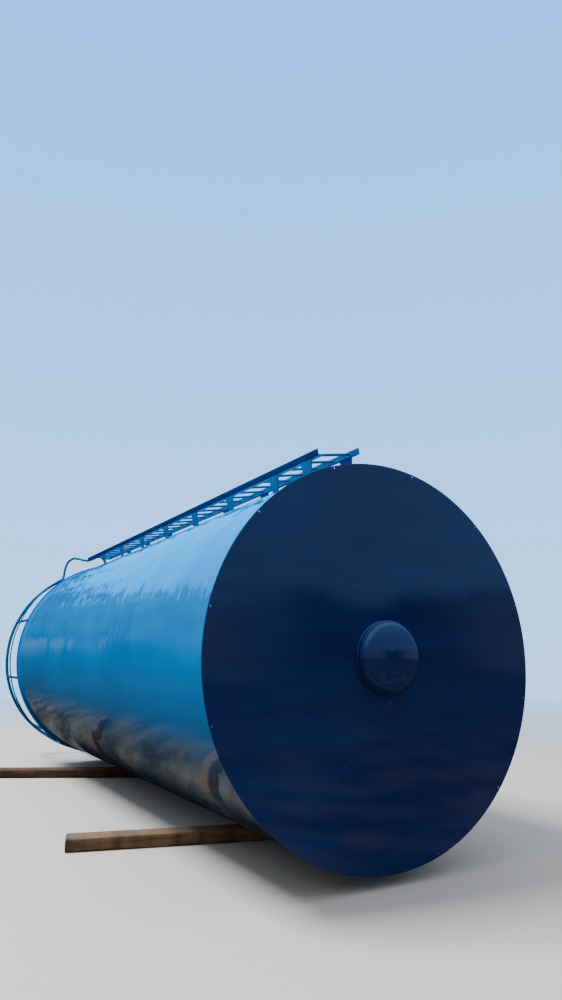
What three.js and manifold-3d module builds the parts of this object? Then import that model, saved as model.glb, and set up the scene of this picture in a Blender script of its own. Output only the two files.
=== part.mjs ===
// A 50 cubic metre vertical storage tank, laid on its side on two timber bearers: plate shell,
// flat ends, dished sump, climbing ladder and roof guard rail.
// Millimetres, +Z up. The tank's axis runs along +Y, from the base plate to the roof.
import * as THREE from "three";
import { mergeVertices } from "three/addons/utils/BufferGeometryUtils.js";
import Module from "manifold-3d";

const wasm = await Module();
wasm.setup();

// Shell and ends
const SHELL_RADIUS = 1500; // outside of the plate
const SHELL_WALL = 8;
const COURSES = 5;
const COURSE_HEIGHT = 1465; // one rolled plate
const END_PLATE_RADIUS = 1532; // both flat ends stand proud of the shell
const END_PLATE_THICKNESS = 12;
const SUMP_HOLE_RADIUS = 250;
const BEARING_RADIUS = 310; // the base plate is clear of the sump from here out
const RIM_SEGMENTS = 72;

// Sump under the middle of the base plate
const SUMP_RADIUS = 270;
const SUMP_WALL = 8;
const SUMP_NECK_LENGTH = 45;
const SUMP_KNUCKLE_RADIUS = 45;
const SUMP_KNUCKLE_SWEEP = THREE.MathUtils.degToRad(75);
const SUMP_KNUCKLE_STEPS = 4;
const SUMP_CROWN_RISE = 28;
const SUMP_CROWN_STEPS = 4;
const SUMP_SEGMENTS = 32;

// Ladder: four lengths of steel angle with round rungs. One leg of each angle stands up, and the
// other points inwards, close to the shell
const LADDER_ANGLE = THREE.MathUtils.degToRad(99.5); // from the tank's right side, over the top
const LADDER_FOOT = 180; // first end, from the base plate's face
const LADDER_SECTIONS = 4;
const RUNGS_PER_SECTION = 7;
const RUNG_PITCH = 261;
const RUNG_RADIUS = 12.5;
const LADDER_WIDTH = 420; // over both stringers
const ANGLE_LEG = 60;
const ANGLE_THICKNESS = 6;
const STRINGER_OUTER_RADIUS = 1710; // outer edge, from the tank's axis

// Stand-off plates: a pair near the ladder's foot, a second pair, and the rest evenly from there
const BRACKET_PAIRS = 8;
const FIRST_BRACKET = 380;
const SECOND_BRACKET = 940;
const BRACKET_PITCH = 930;
const BRACKET_TOP_WIDTH = 180;
const BRACKET_FOOT_WIDTH = 100;
const BRACKET_THICKNESS = 10;
const BRACKET_SPARE = 60; // length below the shell's top that is cut to its curve

// Guard rail round the roof
const RAIL_RADIUS = 1510; // middle of the posts and of the top rail
const RAIL_HEIGHT = 1100; // middle of the top rail over the roof
const MID_RAIL_HEIGHT = 560;
const TOP_RAIL_PIPE = 24; // radii over the flats
const POST_PIPE = 19;
const MID_RAIL_BAR = 10;
const POSTS = 10;
const OPENING_HALF_ANGLE = THREE.MathUtils.degToRad(23); // the way through at the ladder
const STEPS_PER_BAY = 7; // straight steps of a rail between two posts

// Walk-through handrails, from the ladder's top to the two ends of the top rail
const HANDRAIL_PIPE = 21;
const HANDRAIL_STEPS = 40;
// Each bend: outward from the stringer, share of the climb to the top rail, away from the shell
const HANDRAIL_BENDS = [
  [0, 0, 0],
  [0, 0.1, 0],
  [0, 0.4, 45],
  [8, 0.79, 115],
  [55, 0.94, 135],
  [130, 0.988, 85],
  [195, 0.998, -40],
];
const HANDRAIL_RUN_IN = 85; // the last stretch, in line with the end of the top rail

// Timber bearers under the shell
const BEARER_HEIGHT = 120;
const BEARER_WIDTH = 200;
const BEARERS = [
  { name: "bearer_near_base", length: 3800, distance: 1660, yaw: -16 },
  { name: "bearer_near_roof", length: 4200, distance: 5450, yaw: -28 },
];

const SEAT = 0.3; // clearance between two pieces that rest on each other
const PIPE_SIDES = 8;

const SHELL_START = END_PLATE_THICKNESS + SEAT;
const SHELL_END = SHELL_START + COURSES * COURSE_HEIGHT + (COURSES - 1) * SEAT;
const ROOF_START = SHELL_END + SEAT;
const ROOF_TOP = ROOF_START + END_PLATE_THICKNESS;
const SUMP_DEPTH = SUMP_NECK_LENGTH + SUMP_KNUCKLE_RADIUS + SUMP_CROWN_RISE + 2 * SEAT;
const RAIL_TOP = ROOF_TOP + RAIL_HEIGHT;
const AXIS_HEIGHT = BEARER_HEIGHT + SEAT + SHELL_RADIUS;
const STRINGER_INNER_RADIUS = STRINGER_OUTER_RADIUS - ANGLE_LEG;
const RUNG_LINE = STRINGER_OUTER_RADIUS - (ANGLE_LEG - ANGLE_THICKNESS) / 2;
const LADDER_SECTION_LENGTH = RUNGS_PER_SECTION * RUNG_PITCH;
const RAIL_SWEEP = 2 * Math.PI - 2 * OPENING_HALF_ANGLE;
const RAIL_STEP = RAIL_SWEEP / ((POSTS - 1) * STEPS_PER_BAY);
const LENGTHWISE_MIDDLE = (RAIL_TOP + TOP_RAIL_PIPE - SUMP_DEPTH) / 2;

// Paints and timber
const paint = (color, roughness) =>
  new THREE.MeshStandardMaterial({ color, roughness, metalness: 0 });
const SKY_BLUE = () => paint(0x1088d8, 0.25);
const NAVY = () => paint(0x10295c, 0.2);
const RAIL_BLUE = () => paint(0x1f6fb4, 0.35);
const TIMBER = () => paint(0x6d5138, 0.85);

// Closed geometry to a solid, and back
function solidOf(geometry) {
  const bare = geometry.clone();
  bare.deleteAttribute("normal");
  bare.deleteAttribute("uv");
  const merged = mergeVertices(bare, 1e-3);
  return new wasm.Manifold(
    new wasm.Mesh({
      numProp: 3,
      vertProperties: new Float32Array(merged.attributes.position.array),
      triVerts: new Uint32Array(merged.index.array),
    }),
  );
}

function geometryOf(solid) {
  const mesh = solid.getMesh();
  const geometry = new THREE.BufferGeometry();
  geometry.setAttribute("position", new THREE.BufferAttribute(mesh.vertProperties, 3));
  geometry.setIndex(new THREE.BufferAttribute(mesh.triVerts, 1));
  geometry.computeVertexNormals();
  return geometry;
}

function piece(name, geometry, material) {
  const made = new THREE.Mesh(geometry, material);
  made.name = name;
  return made;
}

// A profile of [radius, distance along the axis] turned about the tank's axis
function turned(profile, segments) {
  const points = profile.map(([radius, along]) => new THREE.Vector2(radius, along));
  return new THREE.LatheGeometry(points, segments);
}

// A flat ring or, with an inner radius of nought, a disc
function washer(inner, outer, from, to, segments) {
  if (inner === 0) return turned([[0, from], [outer, from], [outer, to], [0, to]], segments);
  return turned([[inner, from], [outer, from], [outer, to], [inner, to], [inner, from]], segments);
}

// A regular section for pipes and bars, measured over its flats, with a flat on each axis
function roundSection(radius) {
  const corner = radius / Math.cos(Math.PI / PIPE_SIDES);
  const shape = new THREE.Shape();
  for (let i = 0; i < PIPE_SIDES; i += 1) {
    const angle = ((i + 0.5) * 2 * Math.PI) / PIPE_SIDES;
    const point = [corner * Math.cos(angle), corner * Math.sin(angle)];
    if (i === 0) shape.moveTo(...point);
    else shape.lineTo(...point);
  }
  shape.closePath();
  return shape;
}

// A straight bar of a section, from one distance along the axis to another
function barAlongAxis(shape, from, to) {
  const bar = new THREE.ExtrudeGeometry(shape, { depth: to - from, bevelEnabled: false });
  return bar.rotateX(-Math.PI / 2).translate(0, from, 0);
}

// A point near the shell: angle round the axis, radius, and distance along the axis
function roundTank(angle, radius, along) {
  return new THREE.Vector3(radius * Math.cos(angle), along, radius * Math.sin(angle));
}

// An arc round the tank's axis, level with the roof
class RoofArc extends THREE.Curve {
  constructor(radius, along, from, sweep) {
    super();
    Object.assign(this, { radius, along, from, sweep });
  }

  getPoint(share) {
    return roundTank(this.from + share * this.sweep, this.radius, this.along);
  }
}

const tank = new THREE.Group();
tank.position.set(0, -LENGTHWISE_MIDDLE, AXIS_HEIGHT);

function makeEnds() {
  const base = turned(
    [
      [SUMP_HOLE_RADIUS, 0],
      [BEARING_RADIUS, 0],
      [END_PLATE_RADIUS, 0],
      [END_PLATE_RADIUS, END_PLATE_THICKNESS],
      [SUMP_HOLE_RADIUS, END_PLATE_THICKNESS],
      [SUMP_HOLE_RADIUS, 0],
    ],
    RIM_SEGMENTS,
  );
  tank.add(piece("base_plate", base, NAVY()));
  const roof = washer(0, END_PLATE_RADIUS, ROOF_START, ROOF_TOP, RIM_SEGMENTS);
  tank.add(piece("roof_plate", roof, SKY_BLUE()));
}

function makeShell() {
  for (let i = 0; i < COURSES; i += 1) {
    const from = SHELL_START + i * (COURSE_HEIGHT + SEAT);
    const ring = washer(SHELL_RADIUS - SHELL_WALL, SHELL_RADIUS, from, from + COURSE_HEIGHT, RIM_SEGMENTS);
    tank.add(piece(`shell_course_${i + 1}`, ring, SKY_BLUE()));
  }
}

// A short neck on the base plate, closed by a dished head with a rounded knuckle
function makeSump() {
  const neckEnd = -SEAT - SUMP_NECK_LENGTH;
  const neck = washer(SUMP_RADIUS - SUMP_WALL, SUMP_RADIUS, neckEnd, -SEAT, SUMP_SEGMENTS);
  tank.add(piece("sump_neck", neck, NAVY()));

  const rim = neckEnd - SEAT;
  const skin = (inset) => {
    const knuckle = SUMP_KNUCKLE_RADIUS - inset;
    const flat = SUMP_RADIUS - SUMP_KNUCKLE_RADIUS;
    const points = [];
    for (let i = 0; i <= SUMP_KNUCKLE_STEPS; i += 1) {
      const angle = (i / SUMP_KNUCKLE_STEPS) * SUMP_KNUCKLE_SWEEP;
      points.push([flat + knuckle * Math.cos(angle), rim - knuckle * Math.sin(angle)]);
    }
    const [edge, start] = points.at(-1);
    const crown = rim - SUMP_KNUCKLE_RADIUS - SUMP_CROWN_RISE + inset;
    for (let i = SUMP_CROWN_STEPS - 1; i >= 0; i -= 1) {
      const share = i / SUMP_CROWN_STEPS;
      points.push([edge * share, crown + (start - crown) * share * share]);
    }
    return points;
  };
  const head = turned([...skin(0).reverse(), ...skin(SUMP_WALL)], SUMP_SEGMENTS);
  tank.add(piece("sump_head", head, NAVY()));
}

// The ladder's own frame: x across it, y along the tank, z away from the tank's axis
const ladder = new THREE.Group();
ladder.rotation.y = Math.PI / 2 - LADDER_ANGLE;

// The section of one stringer, on the right (1) or the left (-1): an angle, drawn with its
// distance from the axis downwards, as barAlongAxis turns it
function stringerSection(side) {
  const out = (side * LADDER_WIDTH) / 2;
  const web = out - side * ANGLE_THICKNESS;
  const tip = out - side * ANGLE_LEG;
  const flange = STRINGER_INNER_RADIUS + ANGLE_THICKNESS;
  return new THREE.Shape(
    [
      [out, STRINGER_INNER_RADIUS],
      [out, STRINGER_OUTER_RADIUS],
      [web, STRINGER_OUTER_RADIUS],
      [web, flange],
      [tip, flange],
      [tip, STRINGER_INNER_RADIUS],
    ].map(([x, radius]) => new THREE.Vector2(x, -radius)),
  );
}

function makeLadder() {
  for (let i = 0; i < LADDER_SECTIONS; i += 1) {
    const from = LADDER_FOOT + i * (LADDER_SECTION_LENGTH + SEAT);
    const stringer = (side) =>
      solidOf(barAlongAxis(stringerSection(side), from, from + LADDER_SECTION_LENGTH));
    let section = stringer(-1).add(stringer(1));
    const length = LADDER_WIDTH - ANGLE_THICKNESS;
    for (let k = 0; k < RUNGS_PER_SECTION; k += 1) {
      const rung = new THREE.CylinderGeometry(RUNG_RADIUS, RUNG_RADIUS, length, PIPE_SIDES);
      rung.rotateZ(Math.PI / 2).translate(0, from + (k + 0.5) * RUNG_PITCH, RUNG_LINE);
      section = section.add(solidOf(rung));
    }
    ladder.add(piece(`ladder_section_${i + 1}`, geometryOf(section), RAIL_BLUE()));
  }
}

// Stand-off plates: under a stringer, narrower towards the shell, their feet cut to its curve
function makeBrackets() {
  const shell = solidOf(
    washer(0, SHELL_RADIUS + SEAT, 0, ROOF_TOP, RIM_SEGMENTS).rotateY(-ladder.rotation.y),
  );
  const top = STRINGER_INNER_RADIUS - SEAT;
  const low = SHELL_RADIUS - BRACKET_SPARE;
  const outline = new THREE.Shape(
    [
      [BRACKET_TOP_WIDTH / 2, top],
      [-BRACKET_TOP_WIDTH / 2, top],
      [-BRACKET_FOOT_WIDTH / 2, SHELL_RADIUS],
      [-BRACKET_FOOT_WIDTH / 2, low],
      [BRACKET_FOOT_WIDTH / 2, low],
      [BRACKET_FOOT_WIDTH / 2, SHELL_RADIUS],
    ].map(([along, radius]) => new THREE.Vector2(along, radius)),
  );
  for (let i = 0; i < BRACKET_PAIRS; i += 1) {
    const along = i === 0 ? FIRST_BRACKET : SECOND_BRACKET + (i - 1) * BRACKET_PITCH;
    for (const [side, word] of [[-1, "left"], [1, "right"]]) {
      const plate = new THREE.ExtrudeGeometry(outline, { depth: BRACKET_THICKNESS, bevelEnabled: false });
      plate.translate(0, 0, -BRACKET_THICKNESS / 2).rotateX(Math.PI / 2).rotateZ(Math.PI / 2);
      plate.translate((side * (LADDER_WIDTH - BRACKET_THICKNESS)) / 2, along, 0);
      const cut = solidOf(plate).subtract(shell);
      ladder.add(piece(`ladder_bracket_${word}_${i + 1}`, geometryOf(cut), RAIL_BLUE()));
    }
  }
}

function makeGuardRail() {
  const open = LADDER_ANGLE + OPENING_HALF_ANGLE;
  for (let i = 0; i < POSTS; i += 1) {
    const post = barAlongAxis(roundSection(POST_PIPE), ROOF_TOP + SEAT, RAIL_TOP - TOP_RAIL_PIPE - SEAT);
    const angle = open + (i * RAIL_SWEEP) / (POSTS - 1);
    post.rotateY(-angle).translate(...roundTank(angle, RAIL_RADIUS, 0));
    tank.add(piece(`guard_post_${i + 1}`, post, RAIL_BLUE()));
  }

  // Rails run round from one side of the opening to the other, in short straight steps, with
  // each post against the middle of a step
  const rail = (radius, bar, height) => {
    const corner = radius / Math.cos(RAIL_STEP / 2);
    return new THREE.ExtrudeGeometry(roundSection(bar), {
      steps: (POSTS - 1) * STEPS_PER_BAY + 1,
      bevelEnabled: false,
      extrudePath: new RoofArc(corner, height, open - RAIL_STEP / 2, RAIL_SWEEP + RAIL_STEP),
    });
  };
  tank.add(piece("guard_top_rail", rail(RAIL_RADIUS, TOP_RAIL_PIPE, RAIL_TOP), RAIL_BLUE()));
  const outside = RAIL_RADIUS + POST_PIPE + MID_RAIL_BAR + SEAT;
  const midRail = rail(outside, MID_RAIL_BAR, ROOF_TOP + MID_RAIL_HEIGHT);
  tank.add(piece("guard_mid_rail", midRail, RAIL_BLUE()));
}

// Walk-through handrails: from each stringer's top, out and up, then down into the top rail
function makeHandrails() {
  const start = LADDER_FOOT + LADDER_SECTIONS * (LADDER_SECTION_LENGTH + SEAT);
  const inside = LADDER_WIDTH / 2 - HANDRAIL_PIPE;
  const above = STRINGER_INNER_RADIUS + HANDRAIL_PIPE;
  const end = OPENING_HALF_ANGLE - RAIL_STEP / 2;
  const corner = RAIL_RADIUS / Math.cos(RAIL_STEP / 2);
  for (const [side, word] of [[-1, "left"], [1, "right"]]) {
    const bends = HANDRAIL_BENDS.map(([outward, share, away]) => {
      const across = side * (inside + outward);
      return new THREE.Vector3(across, start + share * (RAIL_TOP - start), above + away);
    });
    const runIn = [HANDRAIL_RUN_IN, SEAT].map((gap) => {
      const across = corner * Math.sin(end) - gap * Math.cos(end);
      const away = corner * Math.cos(end) + gap * Math.sin(end);
      return new THREE.Vector3(side * across, RAIL_TOP, away);
    });
    const path = new THREE.CatmullRomCurve3([...bends, ...runIn], false, "centripetal");
    const pipe = new THREE.ExtrudeGeometry(roundSection(HANDRAIL_PIPE), {
      steps: HANDRAIL_STEPS,
      bevelEnabled: false,
      extrudePath: path,
    });
    ladder.add(piece(`ladder_handrail_${word}`, pipe, RAIL_BLUE()));
  }
}

function makeBearers() {
  const bearers = new THREE.Group();
  for (const { name, length, distance, yaw } of BEARERS) {
    const timber = piece(name, new THREE.BoxGeometry(length, BEARER_WIDTH, BEARER_HEIGHT), TIMBER());
    timber.position.set(0, distance - LENGTHWISE_MIDDLE, BEARER_HEIGHT / 2);
    timber.rotation.z = THREE.MathUtils.degToRad(yaw);
    bearers.add(timber);
  }
  return bearers;
}

makeEnds();
makeShell();
makeSump();
makeLadder();
makeBrackets();
makeGuardRail();
makeHandrails();
tank.add(ladder);

const part = new THREE.Group();
part.add(tank, makeBearers());

export default part;
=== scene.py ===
# %% [markdown]
# # A steel storage tank, laid on its side
# A welded tank of about fifty cubic metres lies on two timber bearers. It will stand upright in
# use: the dark blue disc is its base, with a dished sump in the middle, and the sky-blue shell
# runs back to the roof, which has a guard rail round it. A ladder climbs the whole shell, on what
# is now the top.
#
# Sizes are in metres. +Z is up, and the tank's axis runs along +Y, from the base to the roof.

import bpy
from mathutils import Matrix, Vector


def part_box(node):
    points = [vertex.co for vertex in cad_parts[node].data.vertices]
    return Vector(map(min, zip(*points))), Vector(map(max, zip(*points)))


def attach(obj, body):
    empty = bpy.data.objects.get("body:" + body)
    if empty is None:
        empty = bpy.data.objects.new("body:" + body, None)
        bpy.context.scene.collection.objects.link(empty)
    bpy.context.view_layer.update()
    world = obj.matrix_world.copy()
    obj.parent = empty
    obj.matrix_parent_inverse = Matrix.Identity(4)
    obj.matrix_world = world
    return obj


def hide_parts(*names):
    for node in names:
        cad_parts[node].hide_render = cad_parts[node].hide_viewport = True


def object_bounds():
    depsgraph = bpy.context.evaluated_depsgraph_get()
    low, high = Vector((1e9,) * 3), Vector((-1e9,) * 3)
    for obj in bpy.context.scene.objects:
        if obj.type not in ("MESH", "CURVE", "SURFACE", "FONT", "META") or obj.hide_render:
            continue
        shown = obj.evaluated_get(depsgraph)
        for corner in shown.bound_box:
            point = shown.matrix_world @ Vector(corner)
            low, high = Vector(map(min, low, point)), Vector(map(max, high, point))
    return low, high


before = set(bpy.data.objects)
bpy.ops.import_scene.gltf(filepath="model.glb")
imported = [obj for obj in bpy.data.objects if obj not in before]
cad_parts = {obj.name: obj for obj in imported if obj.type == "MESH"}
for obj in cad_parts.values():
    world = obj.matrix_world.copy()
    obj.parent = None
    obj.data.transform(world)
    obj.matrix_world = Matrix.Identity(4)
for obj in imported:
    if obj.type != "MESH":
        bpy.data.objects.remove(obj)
cad_low, cad_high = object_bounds()
cad_size = [round(high - low, 3) for low, high in zip(cad_low, cad_high)]
print("The model has", len(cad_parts), "nodes and is", cad_size, "m")

# %% Read the main sizes of the tank
import math

import bmesh
import bpy
from mathutils import Matrix, Vector

base_low, base_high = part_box("base_plate")
roof_low, roof_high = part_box("roof_plate")
course_low, course_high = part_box("shell_course_1")
sump_low, sump_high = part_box("sump_neck")

AXIS_HEIGHT = (base_low.z + base_high.z) / 2
END_RADIUS = (base_high.x - base_low.x) / 2
SHELL_RADIUS = (course_high.x - course_low.x) / 2
SUMP_RADIUS = (sump_high.x - sump_low.x) / 2
print(f"Shell {2 * SHELL_RADIUS:.3f} m across, ends {2 * END_RADIUS:.3f} m, "
      f"axis {AXIS_HEIGHT:.3f} m above the floor")

# %% [markdown]
# ## The camera
# The view is taken from the left of the base, at eye level, along the shell, with a wide lens held
# upright. A wide lens close by is what makes the base look so much larger than the roof, so its
# focal length matters as much as its place.

# %% Camera
EYE = (-3.387, -8.523, 1.623)
HEADING = math.radians(29.5)  # to the right of +Y
PITCH = math.radians(12.8)  # upwards
FOCAL_LENGTH = 24.84  # mm, on a sensor whose long side is 36 mm

camera_data = bpy.data.cameras.new("camera")
camera_data.sensor_width = 36
camera_data.lens = FOCAL_LENGTH
camera = bpy.data.objects.new("camera", camera_data)
camera.location = EYE
camera.rotation_euler = (math.pi / 2 + PITCH, 0, -HEADING)
bpy.context.scene.collection.objects.link(camera)
bpy.context.scene.camera = camera
print(f"The eye is {base_low.y - EYE[1]:.2f} m in front of the base plate")

# %% [markdown]
# ## Small helpers for nodes and colours
# Shaders and Geometry Nodes are both trees of nodes. One function adds a node, sets its
# properties and feeds its inputs, so each tree below reads from its source to its end. The feeding
# is also of use for a node that is there from the start, such as a material's shader.
# Some nodes hold one socket for each kind of value under the same name and use one of them at a
# time, so the socket in use is looked up. Colours are written as the hex values of a paint chart
# and turned to the linear values that the renderer works in.


# %% Helpers
def linear(hex_colour):
    """An sRGB hex colour such as "#1080d0" as linear red, green, blue and alpha."""
    channels = [int(hex_colour[i : i + 2], 16) / 255 for i in (1, 3, 5)]
    return *(c / 12.92 if c <= 0.04045 else ((c + 0.055) / 1.055) ** 2.4 for c in channels), 1.0


def feed(tree, node, inputs):
    """Sets or links each input, by name or number. A value may be a node, or a hex colour."""
    for key, value in inputs.items():
        if isinstance(key, int):
            socket = node.inputs[key]
        else:
            socket = next(s for s in node.inputs if s.name == key and s.enabled)
        if isinstance(value, bpy.types.Node):
            value = next(s for s in value.outputs if s.enabled)
        if isinstance(value, bpy.types.NodeSocket):
            tree.links.new(value, socket)
        elif socket.type == "RGBA":
            socket.default_value = linear(value)
        else:
            socket.default_value = value


def add(tree, kind, inputs=None, **settings):
    """Adds a node, sets its properties, and feeds its inputs."""
    made = tree.nodes.new(kind)
    for name, value in settings.items():
        setattr(made, name, value)
    feed(tree, made, inputs or {})
    return made


# %% [markdown]
# ## Enamel paint
# The shell, the base and the rails are mild steel under alkyd enamel, put on by roller and brush.
# Enamel is a clear, glossy binder over pigment, so it is a dielectric with an index of refraction
# near 1.5 and a low roughness. By hand it never goes on evenly. The film is thicker in some
# strokes than in others, which shifts the colour a little; the strokes leave low ridges a hand
# wide, the bristles leave fine ones, and both bend what the gloss mirrors. On the shell the
# strokes run along the tank, so its patterns are laid out on the plate as if it were unrolled.
#
# Each pattern has the size in metres of what it draws, and its scale is one over that. The lines
# of the bristles and the orange peel of the skin are 1 to 3 mm wide in reality, which is too fine
# for the render, so they are drawn several times as wide: the lines at 12 to 29 mm, the peel at
# 11 mm.

# %% Sizes of the patterns in the paint
ALONG_SHELL = (0.143, 1.67, 1.0)  # one stroke: round the tank and along it
LEVEL = (1.43, 1.0, 0.143)  # one level stroke on an end plate
EVERY_WAY = (0.111, 0.111, 0.111)  # short strokes on bars and pipes
FILM_DRIFT = 1.25  # from thick to thin to thick
BRISTLES = (5.0, 9.0, 9.0)  # lines to one stroke
ORANGE_PEEL = 0.0111  # from dimple to dimple
PEEL_HEIGHT = 0.0001


def per_metre(sizes):
    """A pattern's scale on each axis, from the size of what it draws."""
    return tuple(1 / size for size in sizes)


def unrolled(tree):
    """Round the tank from its top, along the tank, and nought, in metres."""
    place = add(tree, "ShaderNodeTexCoord").outputs["Object"]
    offset = add(tree, "ShaderNodeVectorMath", {0: place, 1: (0, 0, -AXIS_HEIGHT)}, operation="ADD")
    part = add(tree, "ShaderNodeSeparateXYZ", {0: offset}).outputs
    angle = add(tree, "ShaderNodeMath", {0: part["X"], 1: part["Z"]}, operation="ARCTAN2")
    arc = add(tree, "ShaderNodeMath", {0: angle, 1: SHELL_RADIUS}, operation="MULTIPLY")
    return add(tree, "ShaderNodeCombineXYZ", {"X": arc, "Y": part["Y"]}).outputs[0]


# %% [markdown]
# Outdoors, a little dust settles at once on whatever faces up. The shell's underside is painted
# darker and greyer, in uneven patches: painted shade and a painted reflection of the ground.

# %% Dust, and painted shade under the shell
DUST = "#8f8271"
DUST_PATCH = 0.0714  # the widest; the noise breaks it up into specks
# Painted shade and a painted reflection of the ground, on the faces that look down
UNDERSIDE_SHADE = "#424440"
UNDERSIDE_SHADE_MOST = 0.85  # how much of the paint it hides where it is thickest
UNDERSIDE_SHADE_STARTS = -0.34  # the Z of the direction that the plate faces
UNDERSIDE_SHADE_WHOLE = -0.58
REFLECTED_PATCH = 0.4545


def settled_dust(tree, place, upward, most):
    """How much dust lies on a face, in specks. upward is the Z of the face's direction."""
    share = add(
        tree, "ShaderNodeMapRange", {"Value": upward, "From Min": 0.3, "From Max": 1.0, "To Max": most}
    )
    specks = add(
        tree, "ShaderNodeTexNoise", {"Vector": place, "Scale": 1 / DUST_PATCH, "Detail": 8.0}
    )
    return add(tree, "ShaderNodeMath", {0: share, 1: specks}, operation="MULTIPLY")


def painted_underside_shade(tree, place, upward):
    """How much of the paint the painted shade and reflection of the underside hide."""
    share = add(
        tree,
        "ShaderNodeMapRange",
        {"Value": upward, "From Min": UNDERSIDE_SHADE_STARTS, "From Max": UNDERSIDE_SHADE_WHOLE, "To Max": UNDERSIDE_SHADE_MOST},
    )
    reflected_patches = add(
        tree, "ShaderNodeTexNoise", {"Vector": place, "Scale": 1 / REFLECTED_PATCH, "Detail": 8.0}
    )
    reflected_patches = add(
        tree,
        "ShaderNodeMapRange",
        {"Value": reflected_patches, "From Min": 0.38, "From Max": 0.55, "To Min": 0.65},
    )
    return add(tree, "ShaderNodeMath", {0: share, 1: reflected_patches}, operation="MULTIPLY")


# %% [markdown]
# The weld of the thick base has drawn the thin shell into ripples, short along the tank and long
# round it. They stand in some fields of the plate and not in others, they are highest near the
# base, and they die away under the tank.

# %% Ripples of the shell
RIPPLES = (3.33, 0.294, 1.0)  # from crest to crest: round the tank and along it
RIPPLE_HEIGHT = 0.026  # of the whole range of the noise, of which it uses about a third
RIPPLED_FIELD = 0.769
FIELD_EDGE = (0.42, 0.67)  # of the wider pattern, where ripples start and are whole
RIPPLES_AT_ROOF = 0.3  # as a share of those at the base
RIPPLES_BELOW = 0.2
BELOW = (1.5 * SHELL_RADIUS, 1.9 * SHELL_RADIUS)  # round the tank from its top


def rippled_plate(tree, place, sheet):
    """The height of the ripples, as a share of the highest."""
    ripple = add(tree, "ShaderNodeMapping", {"Vector": sheet, "Scale": per_metre(RIPPLES)})
    ripple = add(tree, "ShaderNodeTexNoise", {"Vector": ripple, "Scale": 1.0, "Detail": 2.0})
    along = add(tree, "ShaderNodeSeparateXYZ", {0: place}).outputs["Y"]
    along = add(
        tree,
        "ShaderNodeMapRange",
        {
            "Value": along,
            "From Min": base_high.y,
            "From Max": 0.0,
            "To Min": 1.0,
            "To Max": RIPPLES_AT_ROOF,
        },
    )
    from_top = add(tree, "ShaderNodeSeparateXYZ", {0: sheet}).outputs["X"]
    from_top = add(tree, "ShaderNodeMath", {0: from_top}, operation="ABSOLUTE")
    below = add(
        tree,
        "ShaderNodeMapRange",
        {
            "Value": from_top,
            "From Min": BELOW[0],
            "From Max": BELOW[1],
            "To Min": 1.0,
            "To Max": RIPPLES_BELOW,
        },
    )
    field = add(
        tree, "ShaderNodeTexNoise", {"Vector": sheet, "Scale": 1 / RIPPLED_FIELD, "Detail": 1.0}
    )
    field = add(
        tree,
        "ShaderNodeMapRange",
        {"Value": field, "From Min": FIELD_EDGE[0], "From Max": FIELD_EDGE[1]},
    )
    for share in (along, below, field):
        ripple = add(tree, "ShaderNodeMath", {0: ripple, 1: share}, operation="MULTIPLY")
    return ripple


# %% [markdown]
# The enamel puts these together. Its relief is built up from the plate outwards, and each layer
# bends what the one before it gives.

# %% Enamel paint material
ENAMEL_IOR = 1.5


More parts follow.
